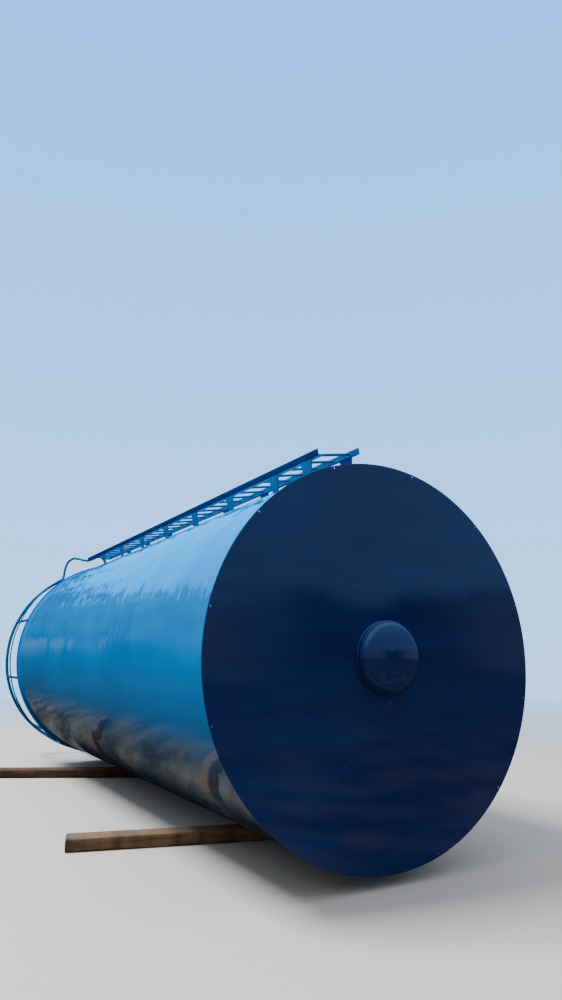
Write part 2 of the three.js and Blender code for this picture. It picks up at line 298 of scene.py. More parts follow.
def enamel(name, colour, thin_colour, roughness, stroke, on_shell=False, dust=0.1, ridge=0.0006):
    """Brushed enamel. stroke is the size of one stroke, and ridge the height of its edges."""
    material = bpy.data.materials.new(name)
    material.use_nodes = True
    tree = material.node_tree
    place = add(tree, "ShaderNodeTexCoord").outputs["Object"]
    sheet = unrolled(tree) if on_shell else place

    drift = add(tree, "ShaderNodeTexNoise", {"Vector": place, "Scale": 1 / FILM_DRIFT, "Detail": 2.0})
    along_stroke = add(tree, "ShaderNodeMapping", {"Vector": sheet, "Scale": per_metre(stroke)})
    brushed = add(
        tree,
        "ShaderNodeTexNoise",
        {"Vector": along_stroke, "Scale": 1.0, "Detail": 4.0, "Roughness": 0.55, "Distortion": 0.3},
    )
    film = add(tree, "ShaderNodeMath", {0: drift, 1: brushed}, operation="ADD")
    film = add(tree, "ShaderNodeMapRange", {"Value": film, "From Min": 0.75, "From Max": 1.2})

    facing = add(tree, "ShaderNodeNewGeometry").outputs["Normal"]
    upward = add(tree, "ShaderNodeSeparateXYZ", {0: facing}).outputs["Z"]
    settled = settled_dust(tree, place, upward, dust)
    layers = [(film, colour), (settled, DUST)]
    # painted shade and reflection on the shell's underside
    if on_shell:
        layers.append((painted_underside_shade(tree, place, upward), UNDERSIDE_SHADE))
    paint = thin_colour
    for share, over in layers:
        paint = add(
            tree, "ShaderNodeMix", {"Factor": share, "A": paint, "B": over}, data_type="RGBA"
        )
    rough = add(
        tree,
        "ShaderNodeMapRange",
        {"Value": brushed, "To Min": roughness * 0.7, "To Max": roughness * 1.4},
    )
    rough = add(tree, "ShaderNodeMath", {0: rough, 1: settled}, operation="ADD")

    relief = add(tree, "ShaderNodeBump", {"Height": brushed, "Strength": 0.5, "Distance": ridge})
    if on_shell:
        ripple = rippled_plate(tree, place, sheet)
        relief = add(
            tree,
            "ShaderNodeBump",
            {"Height": ripple, "Strength": 1.0, "Distance": RIPPLE_HEIGHT, "Normal": relief},
        )
    lines = add(tree, "ShaderNodeMapping", {"Vector": along_stroke, "Scale": BRISTLES})
    lines = add(tree, "ShaderNodeTexNoise", {"Vector": lines, "Scale": 1.0, "Detail": 2.0})
    relief = add(
        tree,
        "ShaderNodeBump",
        {"Height": lines, "Strength": 0.5, "Distance": ridge / 10, "Normal": relief},
    )
    peel = add(tree, "ShaderNodeTexNoise", {"Vector": place, "Scale": 1 / ORANGE_PEEL, "Detail": 2.0})
    relief = add(
        tree,
        "ShaderNodeBump",
        {"Height": peel, "Strength": 0.2, "Distance": PEEL_HEIGHT, "Normal": relief},
    )
    feed(
        tree,
        tree.nodes["Principled BSDF"],
        {"Base Color": paint, "Roughness": rough, "IOR": ENAMEL_IOR, "Normal": relief},
    )
    return material


# %% The paints
SHELL_RIDGE = 0.00015
DISC_RIDGE = 0.0003

sky_blue = enamel(
    "sky_blue_enamel",
    "#007ecc",
    "#008ade",
    0.04,
    ALONG_SHELL,
    on_shell=True,
    dust=0.03,
    ridge=SHELL_RIDGE,
)
roof_blue = enamel("roof_blue_enamel", "#007ecc", "#008ade", 0.08, LEVEL, dust=0.05, ridge=DISC_RIDGE)
navy = enamel("navy_enamel", "#1a2a6c", "#1c3a7c", 0.08, LEVEL, dust=0.05, ridge=DISC_RIDGE)
# The ladder and rail blues are darker than the shell's: painted shade on the ladder and rails.
shaded_rail_blue = enamel("rail_blue_enamel", "#005a8e", "#006aa2", 0.2, EVERY_WAY)
shaded_rail_navy = enamel("rail_navy_enamel", "#0c2c60", "#0e3a72", 0.16, EVERY_WAY)
for made in (sky_blue, roof_blue, navy, shaded_rail_blue, shaded_rail_navy):
    print(f"{made.name}: {len(made.node_tree.nodes)} nodes")

# %% [markdown]
# ## Weathered timber
# The bearers are sawn hardwood that has lain outdoors: brown, greyed on top, with long grain
# streaks, water stains across the faces and pale worn arrises. Timber is not glossy at all. Its
# grain runs along the plank, so the pattern reads the plank's own coordinates, kept in an
# attribute before the plank is turned into place. A line of grain is a millimetre or two wide,
# too fine for the render, so the streaks are drawn about 23 mm wide, and the finer layers of the
# noise break them up.

# %% Timber material
STREAK = (0.4167, 0.02273, 0.02273)  # along the plank, across it and down it
STAIN = (0.2, 1.0, 1.0)  # water runs across the plank
STAIN_COLOUR = "#41301f"
GREYED_PATCH = 0.385
GRAIN_DEPTH = 0.004


def weathered_timber(name, dark, light, grey):
    """Sawn wood: dark and light streaks, stained by water and greyed where it faces up."""
    material = bpy.data.materials.new(name)
    material.use_nodes = True
    tree = material.node_tree
    plank = add(tree, "ShaderNodeAttribute", attribute_name="plank").outputs["Vector"]
    along = add(tree, "ShaderNodeMapping", {"Vector": plank, "Scale": per_metre(STREAK)})
    grain = add(
        tree, "ShaderNodeTexNoise", {"Vector": along, "Scale": 1.0, "Detail": 8.0, "Roughness": 0.65}
    )
    streaks = add(tree, "ShaderNodeMapRange", {"Value": grain, "From Min": 0.3, "From Max": 0.72})
    across = add(tree, "ShaderNodeMapping", {"Vector": plank, "Scale": per_metre(STAIN)})
    water = add(tree, "ShaderNodeTexNoise", {"Vector": across, "Scale": 1.0, "Detail": 5.0})
    water = add(
        tree,
        "ShaderNodeMapRange",
        {"Value": water, "From Min": 0.42, "From Max": 0.66, "To Max": 0.8},
    )
    facing = add(tree, "ShaderNodeNewGeometry").outputs["Normal"]
    upward = add(tree, "ShaderNodeSeparateXYZ", {0: facing}).outputs["Z"]
    weather = add(tree, "ShaderNodeMapRange", {"Value": upward, "From Min": 0.1, "From Max": 0.9})
    patches = add(
        tree, "ShaderNodeTexNoise", {"Vector": plank, "Scale": 1 / GREYED_PATCH, "Detail": 4.0}
    )
    greyed = add(tree, "ShaderNodeMath", {0: weather, 1: patches}, operation="MULTIPLY")
    wood = dark
    for share, colour in ((streaks, light), (water, STAIN_COLOUR), (greyed, grey)):
        wood = add(
            tree, "ShaderNodeMix", {"Factor": share, "A": wood, "B": colour}, data_type="RGBA"
        )
    relief = add(
        tree, "ShaderNodeBump", {"Height": grain, "Strength": 0.8, "Distance": GRAIN_DEPTH}
    )
    feed(
        tree,
        tree.nodes["Principled BSDF"],
        {"Base Color": wood, "Roughness": 0.85, "Normal": relief},
    )
    return material


# The same timber twice: lighter on the bearer near the base and darker on the bearer near the roof, as
# painted light and shade.
lit_timber = weathered_timber("weathered_hardwood", "#6b5038", "#ba916c", "#7c6f60")
shaded_timber = weathered_timber("dark_weathered_hardwood", "#33241a", "#765840", "#6e5f50")
for made in (lit_timber, shaded_timber):
    print(f"{made.name}: {len(made.node_tree.nodes)} nodes")

# %% [markdown]
# ## From a Geometry Nodes tree to a plain mesh
# A rule, such as "a round bar every 261 mm", is best kept as a tree of nodes with named inputs.
# The model's table needs plain meshes, so each result is evaluated once, copied to a new mesh,
# and the modifier is taken off again. Edges sharper than 35 degrees stay crisp, the rest is
# shaded smooth.

# %% Helpers for pieces
CRISP_ANGLE = math.radians(35)


def new_tree(name, **inputs):
    """A Geometry Nodes tree with named inputs; returns it and its input node."""
    tree = bpy.data.node_groups.new(name, "GeometryNodeTree")
    for label, kind in inputs.items():
        label = label.replace("_", " ")
        tree.interface.new_socket(label, in_out="INPUT", socket_type="NodeSocket" + kind)
    tree.interface.new_socket("Geometry", in_out="OUTPUT", socket_type="NodeSocketGeometry")
    return tree, tree.nodes.new("NodeGroupInput").outputs


def end_tree(tree, geometry, material):
    """The common end of each tree: real geometry, shaded smooth, with its material."""
    real = add(tree, "GeometryNodeRealizeInstances", {"Geometry": geometry})
    smooth = add(tree, "GeometryNodeSetShadeSmooth", {"Geometry": real})
    finish = add(tree, "GeometryNodeSetMaterial", {"Geometry": smooth, "Material": material})
    add(tree, "NodeGroupOutput", {"Geometry": finish})


def plain(obj):
    """Bakes an object's modifiers into its own mesh and takes them off."""
    depsgraph = bpy.context.evaluated_depsgraph_get()
    mesh = bpy.data.meshes.new_from_object(obj.evaluated_get(depsgraph))
    mesh.name = obj.name
    obj.modifiers.clear()
    obj.data = mesh
    return obj


def piece(name, mesh, *materials):
    """A new object in the scene, at the origin, for a mesh whose place is in its vertices."""
    obj = bpy.data.objects.new(name, mesh)
    bpy.context.scene.collection.objects.link(obj)
    for material in materials:
        mesh.materials.append(material)
    return obj


def grow(name, tree, start=None, **sizes):
    """A piece that a tree makes from its inputs and, where it needs one, a starting mesh."""
    obj = piece(name, start or bpy.data.meshes.new(name))
    modifier = obj.modifiers.new("shape", "NODES")
    modifier.node_group = tree
    for item in tree.interface.items_tree:
        label = item.name.replace(" ", "_")
        if item.in_out == "INPUT" and label in sizes:
            modifier[item.identifier] = sizes.pop(label)
    assert not sizes, f"{tree.name} has no input {list(sizes)}"
    plain(obj)
    obj.data.set_sharp_from_angle(angle=CRISP_ANGLE)
    return obj


# %% Helpers for finished pieces and for places round the tank
def settle(obj, slot, *nodes):
    """Hangs a finished piece under the root body, hides the nodes it stands for and prints its
    triangles; slot is not used.
    """
    triangles = sum(len(face.vertices) - 2 for face in obj.data.polygons)
    assert not obj.modifiers, obj.name
    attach(obj, "root")
    if nodes:
        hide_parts(*nodes)
    print(f"{obj.name}: {triangles} triangles")
    return obj


def round_tank(angle, radius, along):
    """A point near the tank: angle from its right side over the top, radius, and place along Y."""
    return Vector((radius * math.cos(angle), along, AXIS_HEIGHT + radius * math.sin(angle)))


# %% [markdown]
# ## The shell
# The shell is five rings, each one steel plate rolled to a circle. Rolled and welded plate is
# never a perfect cylinder: it bellies in and out by a few millimetres over half a metre or so,
# and gloss paint shows that clearly, because what it mirrors bends with it. A grid is wrapped
# round the axis, moved in or out by a soft noise, and given its thickness. The noise fades out
# towards both edges, where the next ring or an end plate holds the plate true.

# %% Tree for a rolled plate
DOUBLES = 1e-5  # points closer than this are one

tree, given = new_tree(
    "rolled_plate",
    Radius="Float",
    Thickness="Float",
    Start="Float",
    Length="Float",
    Axis_Height="Float",
    Steps_Around="Int",
    Steps_Along="Int",
    Belly="Float",
    Belly_Size="Float",
    Seed="Float",
    Material="Material",
)
columns = add(tree, "ShaderNodeMath", {0: given["Steps Around"], 1: 1.0}, operation="ADD")
rows = add(tree, "ShaderNodeMath", {0: given["Steps Along"], 1: 1.0}, operation="ADD")
sheet = add(
    tree,
    "GeometryNodeMeshGrid",
    {"Size X": 1.0, "Size Y": 1.0, "Vertices X": columns, "Vertices Y": rows},
)
flat = add(tree, "ShaderNodeSeparateXYZ", {0: add(tree, "GeometryNodeInputPosition")})
angle = add(tree, "ShaderNodeMath", {0: flat.outputs["X"], 1: 2 * math.pi}, operation="MULTIPLY")
sine = add(tree, "ShaderNodeMath", {0: angle}, operation="SINE")
cosine = add(tree, "ShaderNodeMath", {0: angle}, operation="COSINE")
share = add(tree, "ShaderNodeMath", {0: flat.outputs["Y"], 1: 0.5}, operation="ADD")
along = add(
    tree,
    "ShaderNodeMath",
    {0: share, 1: given["Length"], 2: given["Start"]},
    operation="MULTIPLY_ADD",
)
round_x = add(tree, "ShaderNodeMath", {0: sine, 1: given["Radius"]}, operation="MULTIPLY")
round_z = add(tree, "ShaderNodeMath", {0: cosine, 1: given["Radius"]}, operation="MULTIPLY")
on_cylinder = add(tree, "ShaderNodeCombineXYZ", {"X": round_x, "Y": along, "Z": round_z})
patch_scale = add(tree, "ShaderNodeMath", {0: 1.0, 1: given["Belly Size"]}, operation="DIVIDE")
belly = add(
    tree,
    "ShaderNodeTexNoise",
    {"Vector": on_cylinder, "W": given["Seed"], "Scale": patch_scale, "Detail": 1.5},
    noise_dimensions="4D",
)

# %% Let the edges hold the plate true, and give it its thickness
HOLD_POWER = 3.0  # how close to its edges a plate is held

swing = add(tree, "ShaderNodeMath", {0: belly, 1: 0.5}, operation="SUBTRACT")
swing = add(tree, "ShaderNodeMath", {0: swing, 1: given["Belly"]}, operation="MULTIPLY")
edge = add(tree, "ShaderNodeMath", {0: flat.outputs["Y"], 1: 2.0}, operation="MULTIPLY")
edge = add(tree, "ShaderNodeMath", {0: edge}, operation="ABSOLUTE")
edge = add(tree, "ShaderNodeMath", {0: edge, 1: HOLD_POWER}, operation="POWER")
hold = add(tree, "ShaderNodeMath", {0: 1.0, 1: edge}, operation="SUBTRACT")
swing = add(tree, "ShaderNodeMath", {0: swing, 1: hold}, operation="MULTIPLY")
radius = add(tree, "ShaderNodeMath", {0: given["Radius"], 1: swing}, operation="ADD")
x = add(tree, "ShaderNodeMath", {0: sine, 1: radius}, operation="MULTIPLY")
z = add(
    tree,
    "ShaderNodeMath",
    {0: cosine, 1: radius, 2: given["Axis Height"]},
    operation="MULTIPLY_ADD",
)
rolled = add(tree, "ShaderNodeCombineXYZ", {"X": x, "Y": along, "Z": z})
outer = add(tree, "GeometryNodeSetPosition", {"Geometry": sheet, "Position": rolled})
outer = add(tree, "GeometryNodeMergeByDistance", {"Geometry": outer, "Distance": DOUBLES})
flipped = add(tree, "GeometryNodeFlipFaces", {"Mesh": outer})
inner = add(
    tree,
    "GeometryNodeExtrudeMesh",
    {"Mesh": flipped, "Offset Scale": given["Thickness"], "Individual": False},
)
wall = add(tree, "GeometryNodeJoinGeometry")
tree.links.new(outer.outputs[0], wall.inputs[0])
tree.links.new(inner.outputs["Mesh"], wall.inputs[0])
closed = add(tree, "GeometryNodeMergeByDistance", {"Geometry": wall, "Distance": DOUBLES})
end_tree(tree, closed, given["Material"])
rolled_plate = tree

# %% Roll the five courses of the shell
COURSES = 5
PLATE_THICKNESS = 0.008
BELLY = 0.010  # from the highest to the lowest place
BELLY_SIZE = 0.75
STEPS_AROUND = 240
STEPS_ALONG = 24

for number in range(1, COURSES + 1):
    node = f"shell_course_{number}"
    low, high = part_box(node)
    course = grow(
        f"rolled_course_{number}",
        rolled_plate,
        Radius=SHELL_RADIUS,
        Thickness=PLATE_THICKNESS,
        Start=low.y,
        Length=high.y - low.y,
        Axis_Height=AXIS_HEIGHT,
        Steps_Around=STEPS_AROUND,
        Steps_Along=STEPS_ALONG,
        Belly=BELLY,
        Belly_Size=BELLY_SIZE,
        Seed=float(number),
        Material=sky_blue,
    )
    settle(course, "sky_blue_enamel", node)

# %% [markdown]
# ## Weld beads
# Every joint is an arc weld: a low rounded ridge, 10 to 14 mm wide, whose ripples are the frozen
# edges of the weld pool. The seams of the shell were ground nearly flush, and paint fills what is
# left. One tree makes every bead. It takes a path with the outward direction of the steel kept on
# each point, and sweeps a flattened circle along it, a little fatter and thinner as it goes.

# %% Tree for a weld bead
BEAD_SIDES = 8
WAVES_PER_METRE = 45.0  # it grows fatter and thinner every 22 mm or so

tree, given = new_tree(
    "weld_bead",
    Path="Geometry",
    Width="Float",
    Height="Float",
    Ripple="Float",
    Unevenness="Float",
    Seed="Float",
    Material="Material",
)
joint = add(tree, "GeometryNodeMeshToCurve", {"Mesh": given["Path"]})
joint = add(
    tree, "GeometryNodeResampleCurve", {"Curve": joint, "Length": given["Ripple"]}, mode="LENGTH"
)
outward = add(
    tree, "GeometryNodeInputNamedAttribute", {"Name": "outward"}, data_type="FLOAT_VECTOR"
)
joint = add(tree, "GeometryNodeSetCurveNormal", {"Curve": joint, "Normal": outward}, mode="FREE")
where = add(tree, "GeometryNodeInputPosition")
wander = add(
    tree,
    "ShaderNodeTexNoise",
    {"Vector": where, "W": given["Seed"], "Scale": WAVES_PER_METRE, "Detail": 2.0},
    noise_dimensions="4D",
)
wander = add(tree, "ShaderNodeMath", {0: wander, 1: 0.5}, operation="SUBTRACT")
fatness = add(
    tree,
    "ShaderNodeMath",
    {0: wander, 1: given["Unevenness"], 2: 1.0},
    operation="MULTIPLY_ADD",
)
ring = add(
    tree, "GeometryNodeCurvePrimitiveCircle", {"Resolution": BEAD_SIDES, "Radius": 1.0}, mode="RADIUS"
)
half_width = add(tree, "ShaderNodeMath", {0: given["Width"], 1: 2.0}, operation="DIVIDE")
flatness = add(tree, "ShaderNodeCombineXYZ", {"X": given["Height"], "Y": half_width, "Z": 1.0})
section = add(tree, "GeometryNodeTransform", {"Geometry": ring, "Scale": flatness})
bead = add(
    tree,
    "GeometryNodeCurveToMesh",
    {"Curve": joint, "Profile Curve": section, "Scale": fatness, "Fill Caps": True},
)
end_tree(tree, bead, given["Material"])
weld_bead = tree


# %% Paths for the beads
def path_mesh(name, runs):
    """Paths as one mesh of edges. Each run is a list of (point, outward direction) pairs."""
    mesh = bpy.data.meshes.new(name)
    points, normals, edges = [], [], []
    for run, closed in runs:
        first = len(points)
        points += [point for point, _ in run]
        normals += [normal for _, normal in run]
        edges += [(i, i + 1) for i in range(first, len(points) - 1)]
        if closed:
            edges.append((len(points) - 1, first))
    mesh.from_pydata(points, edges, [])
    attribute = mesh.attributes.new("outward", "FLOAT_VECTOR", "POINT")
    attribute.data.foreach_set("vector", [value for normal in normals for value in normal])
    return mesh


def hoop(radius, along, tilt=0.0, steps=180):
    """A closed run round the tank. tilt turns the outward direction towards the roof."""
    run = []
    for i in range(steps):
        angle = 2 * math.pi * i / steps
        radial = Vector((math.cos(angle), 0, math.sin(angle)))
        outward = radial * math.cos(tilt) + Vector((0, math.sin(tilt), 0))
        run.append((round_tank(angle, radius, along), outward))
    return run, True


def collar(centre, axis, radius, steps=24):
    """A closed run round a pipe, for the fillet weld at its end."""
    axis = axis.normalized()
    side = axis.orthogonal().normalized()
    run = []
    for i in range(steps):
        radial = Matrix.Rotation(2 * math.pi * i / steps, 3, axis) @ side
        run.append((centre + radial * radius, (radial + axis).normalized()))
    return run, True


def lengthwise(angle, start, end):
    """A straight run along the shell, at one angle round it."""
    outward = Vector((math.cos(angle), 0, math.sin(angle)))
    return [(round_tank(angle, SHELL_RADIUS, y), outward) for y in (start, end)], False


# %% Lay the beads of the shell
SHELL_BEAD = {"Width": 0.012, "Height": 0.0009, "Ripple": 0.012, "Unevenness": 0.4, "Seed": 3.0}
COURSE_SEAMS = [math.radians(degrees) for degrees in (228, 38, 250, 52, 214)]

seams = []
for number, angle in enumerate(COURSE_SEAMS, start=1):
    low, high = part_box(f"shell_course_{number}")
    seams.append(lengthwise(angle, low.y, high.y))
    if number < COURSES:
        seams.append(hoop(SHELL_RADIUS, high.y))
seam_welds = grow(
    "shell_seam_welds", weld_bead, path_mesh("seams", seams), Material=sky_blue, **SHELL_BEAD
)
settle(seam_welds, "sky_blue_enamel")

# %% [markdown]
# ## The base plate
# The base is cut from two wide plates and an offcut, butt-welded into one disc that stands 32 mm
# proud of the shell all round, with twelve small holes close to its edge. Like the shell it isn't
# quite flat, and its dark gloss shows it. The disc is a profile with an eased rim, turned about
# the axis. The holes repeat, so a tree sets one cutter at each place, and a Boolean modifier takes
# them all out of the disc at once.


# %% Turn a profile about the axis
def turned(name, profile, segments, relief=None):
    """A closed solid from (radius, y) points, from the axis or back to the first point."""
    mesh = bpy.data.meshes.new(name)
    work = bmesh.new()
    rings = []
    for radius, along in profile:
        if radius == 0:
            rings.append([work.verts.new(round_tank(0, 0, along))])
            continue
        ring = []
        for i in range(segments):
            angle = 2 * math.pi * i / segments
            lift = relief(radius, angle) if relief else 0
            ring.append(work.verts.new(round_tank(angle, radius, along + lift)))
        rings.append(ring)
    closed = profile[0][0] > 0
    for ring, after in zip(rings, rings[1:] + (rings[:1] if closed else [])):
        for i in range(segments):
            j = (i + 1) % segments
            if len(ring) == 1:
                work.faces.new((ring[0], after[j], after[i]))
            elif len(after) == 1:
                work.faces.new((ring[i], ring[j], after[0]))
            else:
                work.faces.new((ring[i], ring[j], after[j], after[i]))
    bmesh.ops.recalc_face_normals(work, faces=work.faces)
    work.to_mesh(mesh)
    work.free()
    mesh.shade_smooth()
    mesh.set_sharp_from_angle(angle=CRISP_ANGLE)
    return mesh


# %% The disc of the base plate
from mathutils import noise

SUMP_OPENING = 0.25
DISC_SEGMENTS = 240
DISC_RINGS = 20
EASE = 0.0012
WARP = 0.005
WARP_SIZE = 0.62
WARP_SEED = 4.0
RIM_POWER = 6  # how close to its rim the disc is held flat


def warp_of_plate(radius, angle):
    """How far the flat plate bows, in metres; nothing at the rim, where the shell holds it."""
    hold = max(0.0, 1 - (radius / SHELL_RADIUS) ** RIM_POWER)
    place = Vector((radius * math.cos(angle), radius * math.sin(angle), WARP_SEED)) / WARP_SIZE
    return WARP * hold * noise.noise(place)


def disc_profile(opening, outside, inside):
    """From the opening along the outer face, round an eased rim, and back along the inner face."""
    ease = math.copysign(EASE, inside - outside)
    reach = END_RADIUS - EASE - opening
    steps = [opening + reach * i / DISC_RINGS for i in range(DISC_RINGS + 1)]
    profile = [(radius, outside) for radius in steps]
    profile += [(END_RADIUS, outside + ease), (END_RADIUS, inside - ease)]
    return profile + [(radius, inside) for radius in reversed(steps)]


disc = turned(
    "base_disc", disc_profile(SUMP_OPENING, base_low.y, base_high.y), DISC_SEGMENTS, warp_of_plate
)
plate = piece("base_disc", disc, navy)
print(f"The disc has {len(disc.polygons)} faces before its holes are cut")

# %% Tree for the hole cutters
CUTTER_SIDES = 20

tree, given = new_tree(
    "hole_cutters",
    Count="Int",
    Circle="Float",
    Size="Float",
    Depth="Float",
    First="Float",
    Along="Float",
    Axis_Height="Float",
    Material="Material",
)
spots = add(tree, "GeometryNodePoints", {"Count": given["Count"]})
step = add(tree, "ShaderNodeMath", {0: 2 * math.pi, 1: given["Count"]}, operation="DIVIDE")
index = add(tree, "GeometryNodeInputIndex")
angle = add(
    tree, "ShaderNodeMath", {0: index, 1: step, 2: given["First"]}, operation="MULTIPLY_ADD"
)
level = add(tree, "ShaderNodeMath", {0: angle}, operation="COSINE")
rise = add(tree, "ShaderNodeMath", {0: angle}, operation="SINE")
x = add(tree, "ShaderNodeMath", {0: level, 1: given["Circle"]}, operation="MULTIPLY")
z = add(
    tree,
    "ShaderNodeMath",
    {0: rise, 1: given["Circle"], 2: given["Axis Height"]},
    operation="MULTIPLY_ADD",
)
spot = add(tree, "ShaderNodeCombineXYZ", {"X": x, "Y": given["Along"], "Z": z})
spots = add(tree, "GeometryNodeSetPosition", {"Geometry": spots, "Position": spot})
cutter = add(
    tree,
    "GeometryNodeMeshCylinder",
    {"Vertices": CUTTER_SIDES, "Radius": given["Size"], "Depth": given["Depth"]},
)
cutters = add(
    tree,
    "GeometryNodeInstanceOnPoints",
    {"Points": spots, "Instance": cutter, "Rotation": (math.pi / 2, 0, 0)},
)
end_tree(tree, cutters, given["Material"])
cutter_tree = tree

# %% Cut the holes
HOLES = 12
HOLE_CIRCLE = 1.515
HOLE_SIZE = 0.008
CUTTER_DEPTH = 0.06
FIRST_HOLE = math.radians(17)

cutters = grow(
    "rim_hole_cutters",
    cutter_tree,
    Count=HOLES,
    Circle=HOLE_CIRCLE,
    Size=HOLE_SIZE,
    Depth=CUTTER_DEPTH,
    First=FIRST_HOLE,
    Along=base_low.y,
    Axis_Height=AXIS_HEIGHT,
    Material=navy,
)
cut = plate.modifiers.new("holes", "BOOLEAN")
cut.object = cutters
cut.operation = "DIFFERENCE"
cut.solver = "EXACT"
plain(plate)
bpy.data.objects.remove(cutters)
plate.data.set_sharp_from_angle(angle=CRISP_ANGLE)
settle(plate, "navy_enamel", "base_plate")

# %% [markdown]
# ## Seams of the base plate
# Two butt welds cross the face: a long one that runs from upper right to lower left and passes
# just below the sump, and a short one at right angles to it. A fillet weld runs round behind the
# plate, in the corner between it and the shell, and it shows from the side.

# %% Welds across the base plate
FACE = Vector((0, -1, 0))
FACE_BEAD = {"Width": 0.009, "Height": 0.0009, "Ripple": 0.012, "Unevenness": 0.5, "Seed": 7.0}
FILLET = {"Width": 0.016, "Height": 0.008, "Ripple": 0.012, "Unevenness": 0.35, "Seed": 11.0}
SEAM_TURN = math.radians(45)
LONG_SEAM_OFFSET = 0.262  # from the middle of the disc, below the sump
SHORT_SEAM_PLACE = -1.07  # along the long seam, from the middle
SHORT_SEAM = (-0.62, -0.05)  # from end to end, off the middle
SEAM_MARGIN = 0.004


def on_face(along_seam, off_seam):
    """A point on the base plate, in the directions of its long seam."""
    turn = Vector((math.cos(SEAM_TURN), 0, math.sin(SEAM_TURN)))
    side = Vector((math.sin(SEAM_TURN), 0, -math.cos(SEAM_TURN)))
    middle = Vector((0, base_low.y, AXIS_HEIGHT))
    return middle + turn * along_seam + side * off_seam


reach = math.sqrt((END_RADIUS - SEAM_MARGIN) ** 2 - LONG_SEAM_OFFSET**2)
long_seam = [on_face(end * reach, LONG_SEAM_OFFSET) for end in (-1, 1)]
short_seam = [on_face(SHORT_SEAM_PLACE, off_seam) for off_seam in SHORT_SEAM]
runs = [([(point, FACE) for point in seam], False) for seam in (long_seam, short_seam)]
plate_welds = grow("base_seam_welds", weld_bead, path_mesh("face", runs), Material=navy, **FACE_BEAD)
settle(plate_welds, "navy_enamel")

# %% Welds between the shell and the ends
CORNER = math.radians(45)
STAND_OFF = 0.001  # of a fillet's middle from the plate that it runs along

corners = [
    hoop(SHELL_RADIUS + STAND_OFF, base_high.y, CORNER),
    hoop(SHELL_RADIUS + STAND_OFF, roof_low.y, -CORNER),
]
corner_welds = grow(
    "end_fillet_welds", weld_bead, path_mesh("corners", corners), Material=sky_blue, **FILLET
)
settle(corner_welds, "sky_blue_enamel")

# %% [markdown]
# ## The sump
# The sump is where water and sediment are drained: a short rolled neck, and a pressed head with
# a rounded knuckle and a shallow dish. A turned profile makes both. Many more steps than the
# model's own keep its gloss smooth.

# %% Sump neck and head
SUMP_WALL = 0.008
KNUCKLE = 0.045
KNUCKLE_SWEEP = math.radians(75)
CROWN_RISE = 0.028
KNUCKLE_STEPS = 10
CROWN_STEPS = 12
SUMP_SEGMENTS = 128
SUMP_WELD_STEPS = 96


def head_skin(rim, inset):
    """The head's profile from its rim to its middle; inset moves it in by the wall."""
    bend = KNUCKLE - inset
    flat = SUMP_RADIUS - KNUCKLE
    points = []
    for i in range(KNUCKLE_STEPS + 1):
        turn = KNUCKLE_SWEEP * i / KNUCKLE_STEPS
        points.append((flat + bend * math.cos(turn), rim - bend * math.sin(turn)))
    edge, start = points[-1]
    crown = rim - KNUCKLE - CROWN_RISE + inset
    for i in range(CROWN_STEPS - 1, -1, -1):
        share = i / CROWN_STEPS
        points.append((edge * share, crown + (start - crown) * share**2))
    return points


neck_profile = [
    (SUMP_RADIUS - SUMP_WALL, sump_high.y),
    (SUMP_RADIUS, sump_high.y),
    (SUMP_RADIUS, sump_low.y),
    (SUMP_RADIUS - SUMP_WALL, sump_low.y),
]
neck = piece("sump_collar", turned("sump_collar", neck_profile, SUMP_SEGMENTS), navy)
settle(neck, "navy_enamel", "sump_neck")
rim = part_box("sump_head")[1].y
head_profile = list(reversed(head_skin(rim, 0))) + head_skin(rim, SUMP_WALL)
head = piece("sump_dish", turned("sump_dish", head_profile, SUMP_SEGMENTS), navy)
settle(head, "navy_enamel", "sump_head")
sump_joints = [
    hoop(SUMP_RADIUS, base_low.y, -CORNER, SUMP_WELD_STEPS),
    hoop(SUMP_RADIUS - STAND_OFF, sump_low.y, 0, SUMP_WELD_STEPS),
]
sump_welds = grow("sump_welds", weld_bead, path_mesh("sump", sump_joints), Material=navy, **FILLET)
settle(sump_welds, "navy_enamel")

# %% [markdown]
# ## The roof
# The far end is a flat plate like the base, without a sump. Nothing of its outside can be seen,
# so it stays plain, apart from the same slight bow.

# %% Roof plate
roof = turned("roof_disc", disc_profile(0, roof_high.y, roof_low.y), DISC_SEGMENTS, warp_of_plate)
roof = piece("roof_disc", roof, roof_blue)
settle(roof, "sky_blue_enamel", "roof_plate")

# %% [markdown]
# ## The ladder
# The two stringers are rolled steel angle, 60 by 60 by 6 mm. One leg stands on edge and points
# away from the tank; the other lies flat and points inwards, so the ladder's long edges are
# stiff both ways. Round rungs are welded between them. The ladder is a darker blue than the
# shell, as painted shade, and its stringers' outer faces are darker again. Everything is made
# in the ladder's own directions, across, along and away from the tank, and turned into place at
# the end. The rungs repeat, so one turned rung with its two weld collars is set at every step of
# a line of points.

# %% The ladder's directions
LADDER_ANGLE = math.radians(99.5)
LADDER_WIDTH = 0.42
ANGLE_LEG = 0.06
ANGLE_THICKNESS = 0.006
ANGLE_HEEL = 0.0008
ANGLE_TOE = 0.003
ANGLE_ROOT = 0.006
STRINGER_OUTER_RADIUS = 1.71
STRINGER_INNER_RADIUS = STRINGER_OUTER_RADIUS - ANGLE_LEG
RUNG_LINE = STRINGER_OUTER_RADIUS - (ANGLE_LEG - ANGLE_THICKNESS) / 2
RUNG_RADIUS = 0.0125
RUNG_PITCH = 0.261
RUNG_BITE = 0.002
RUNGS_PER_SECTION = 7
LADDER_SECTIONS = 4

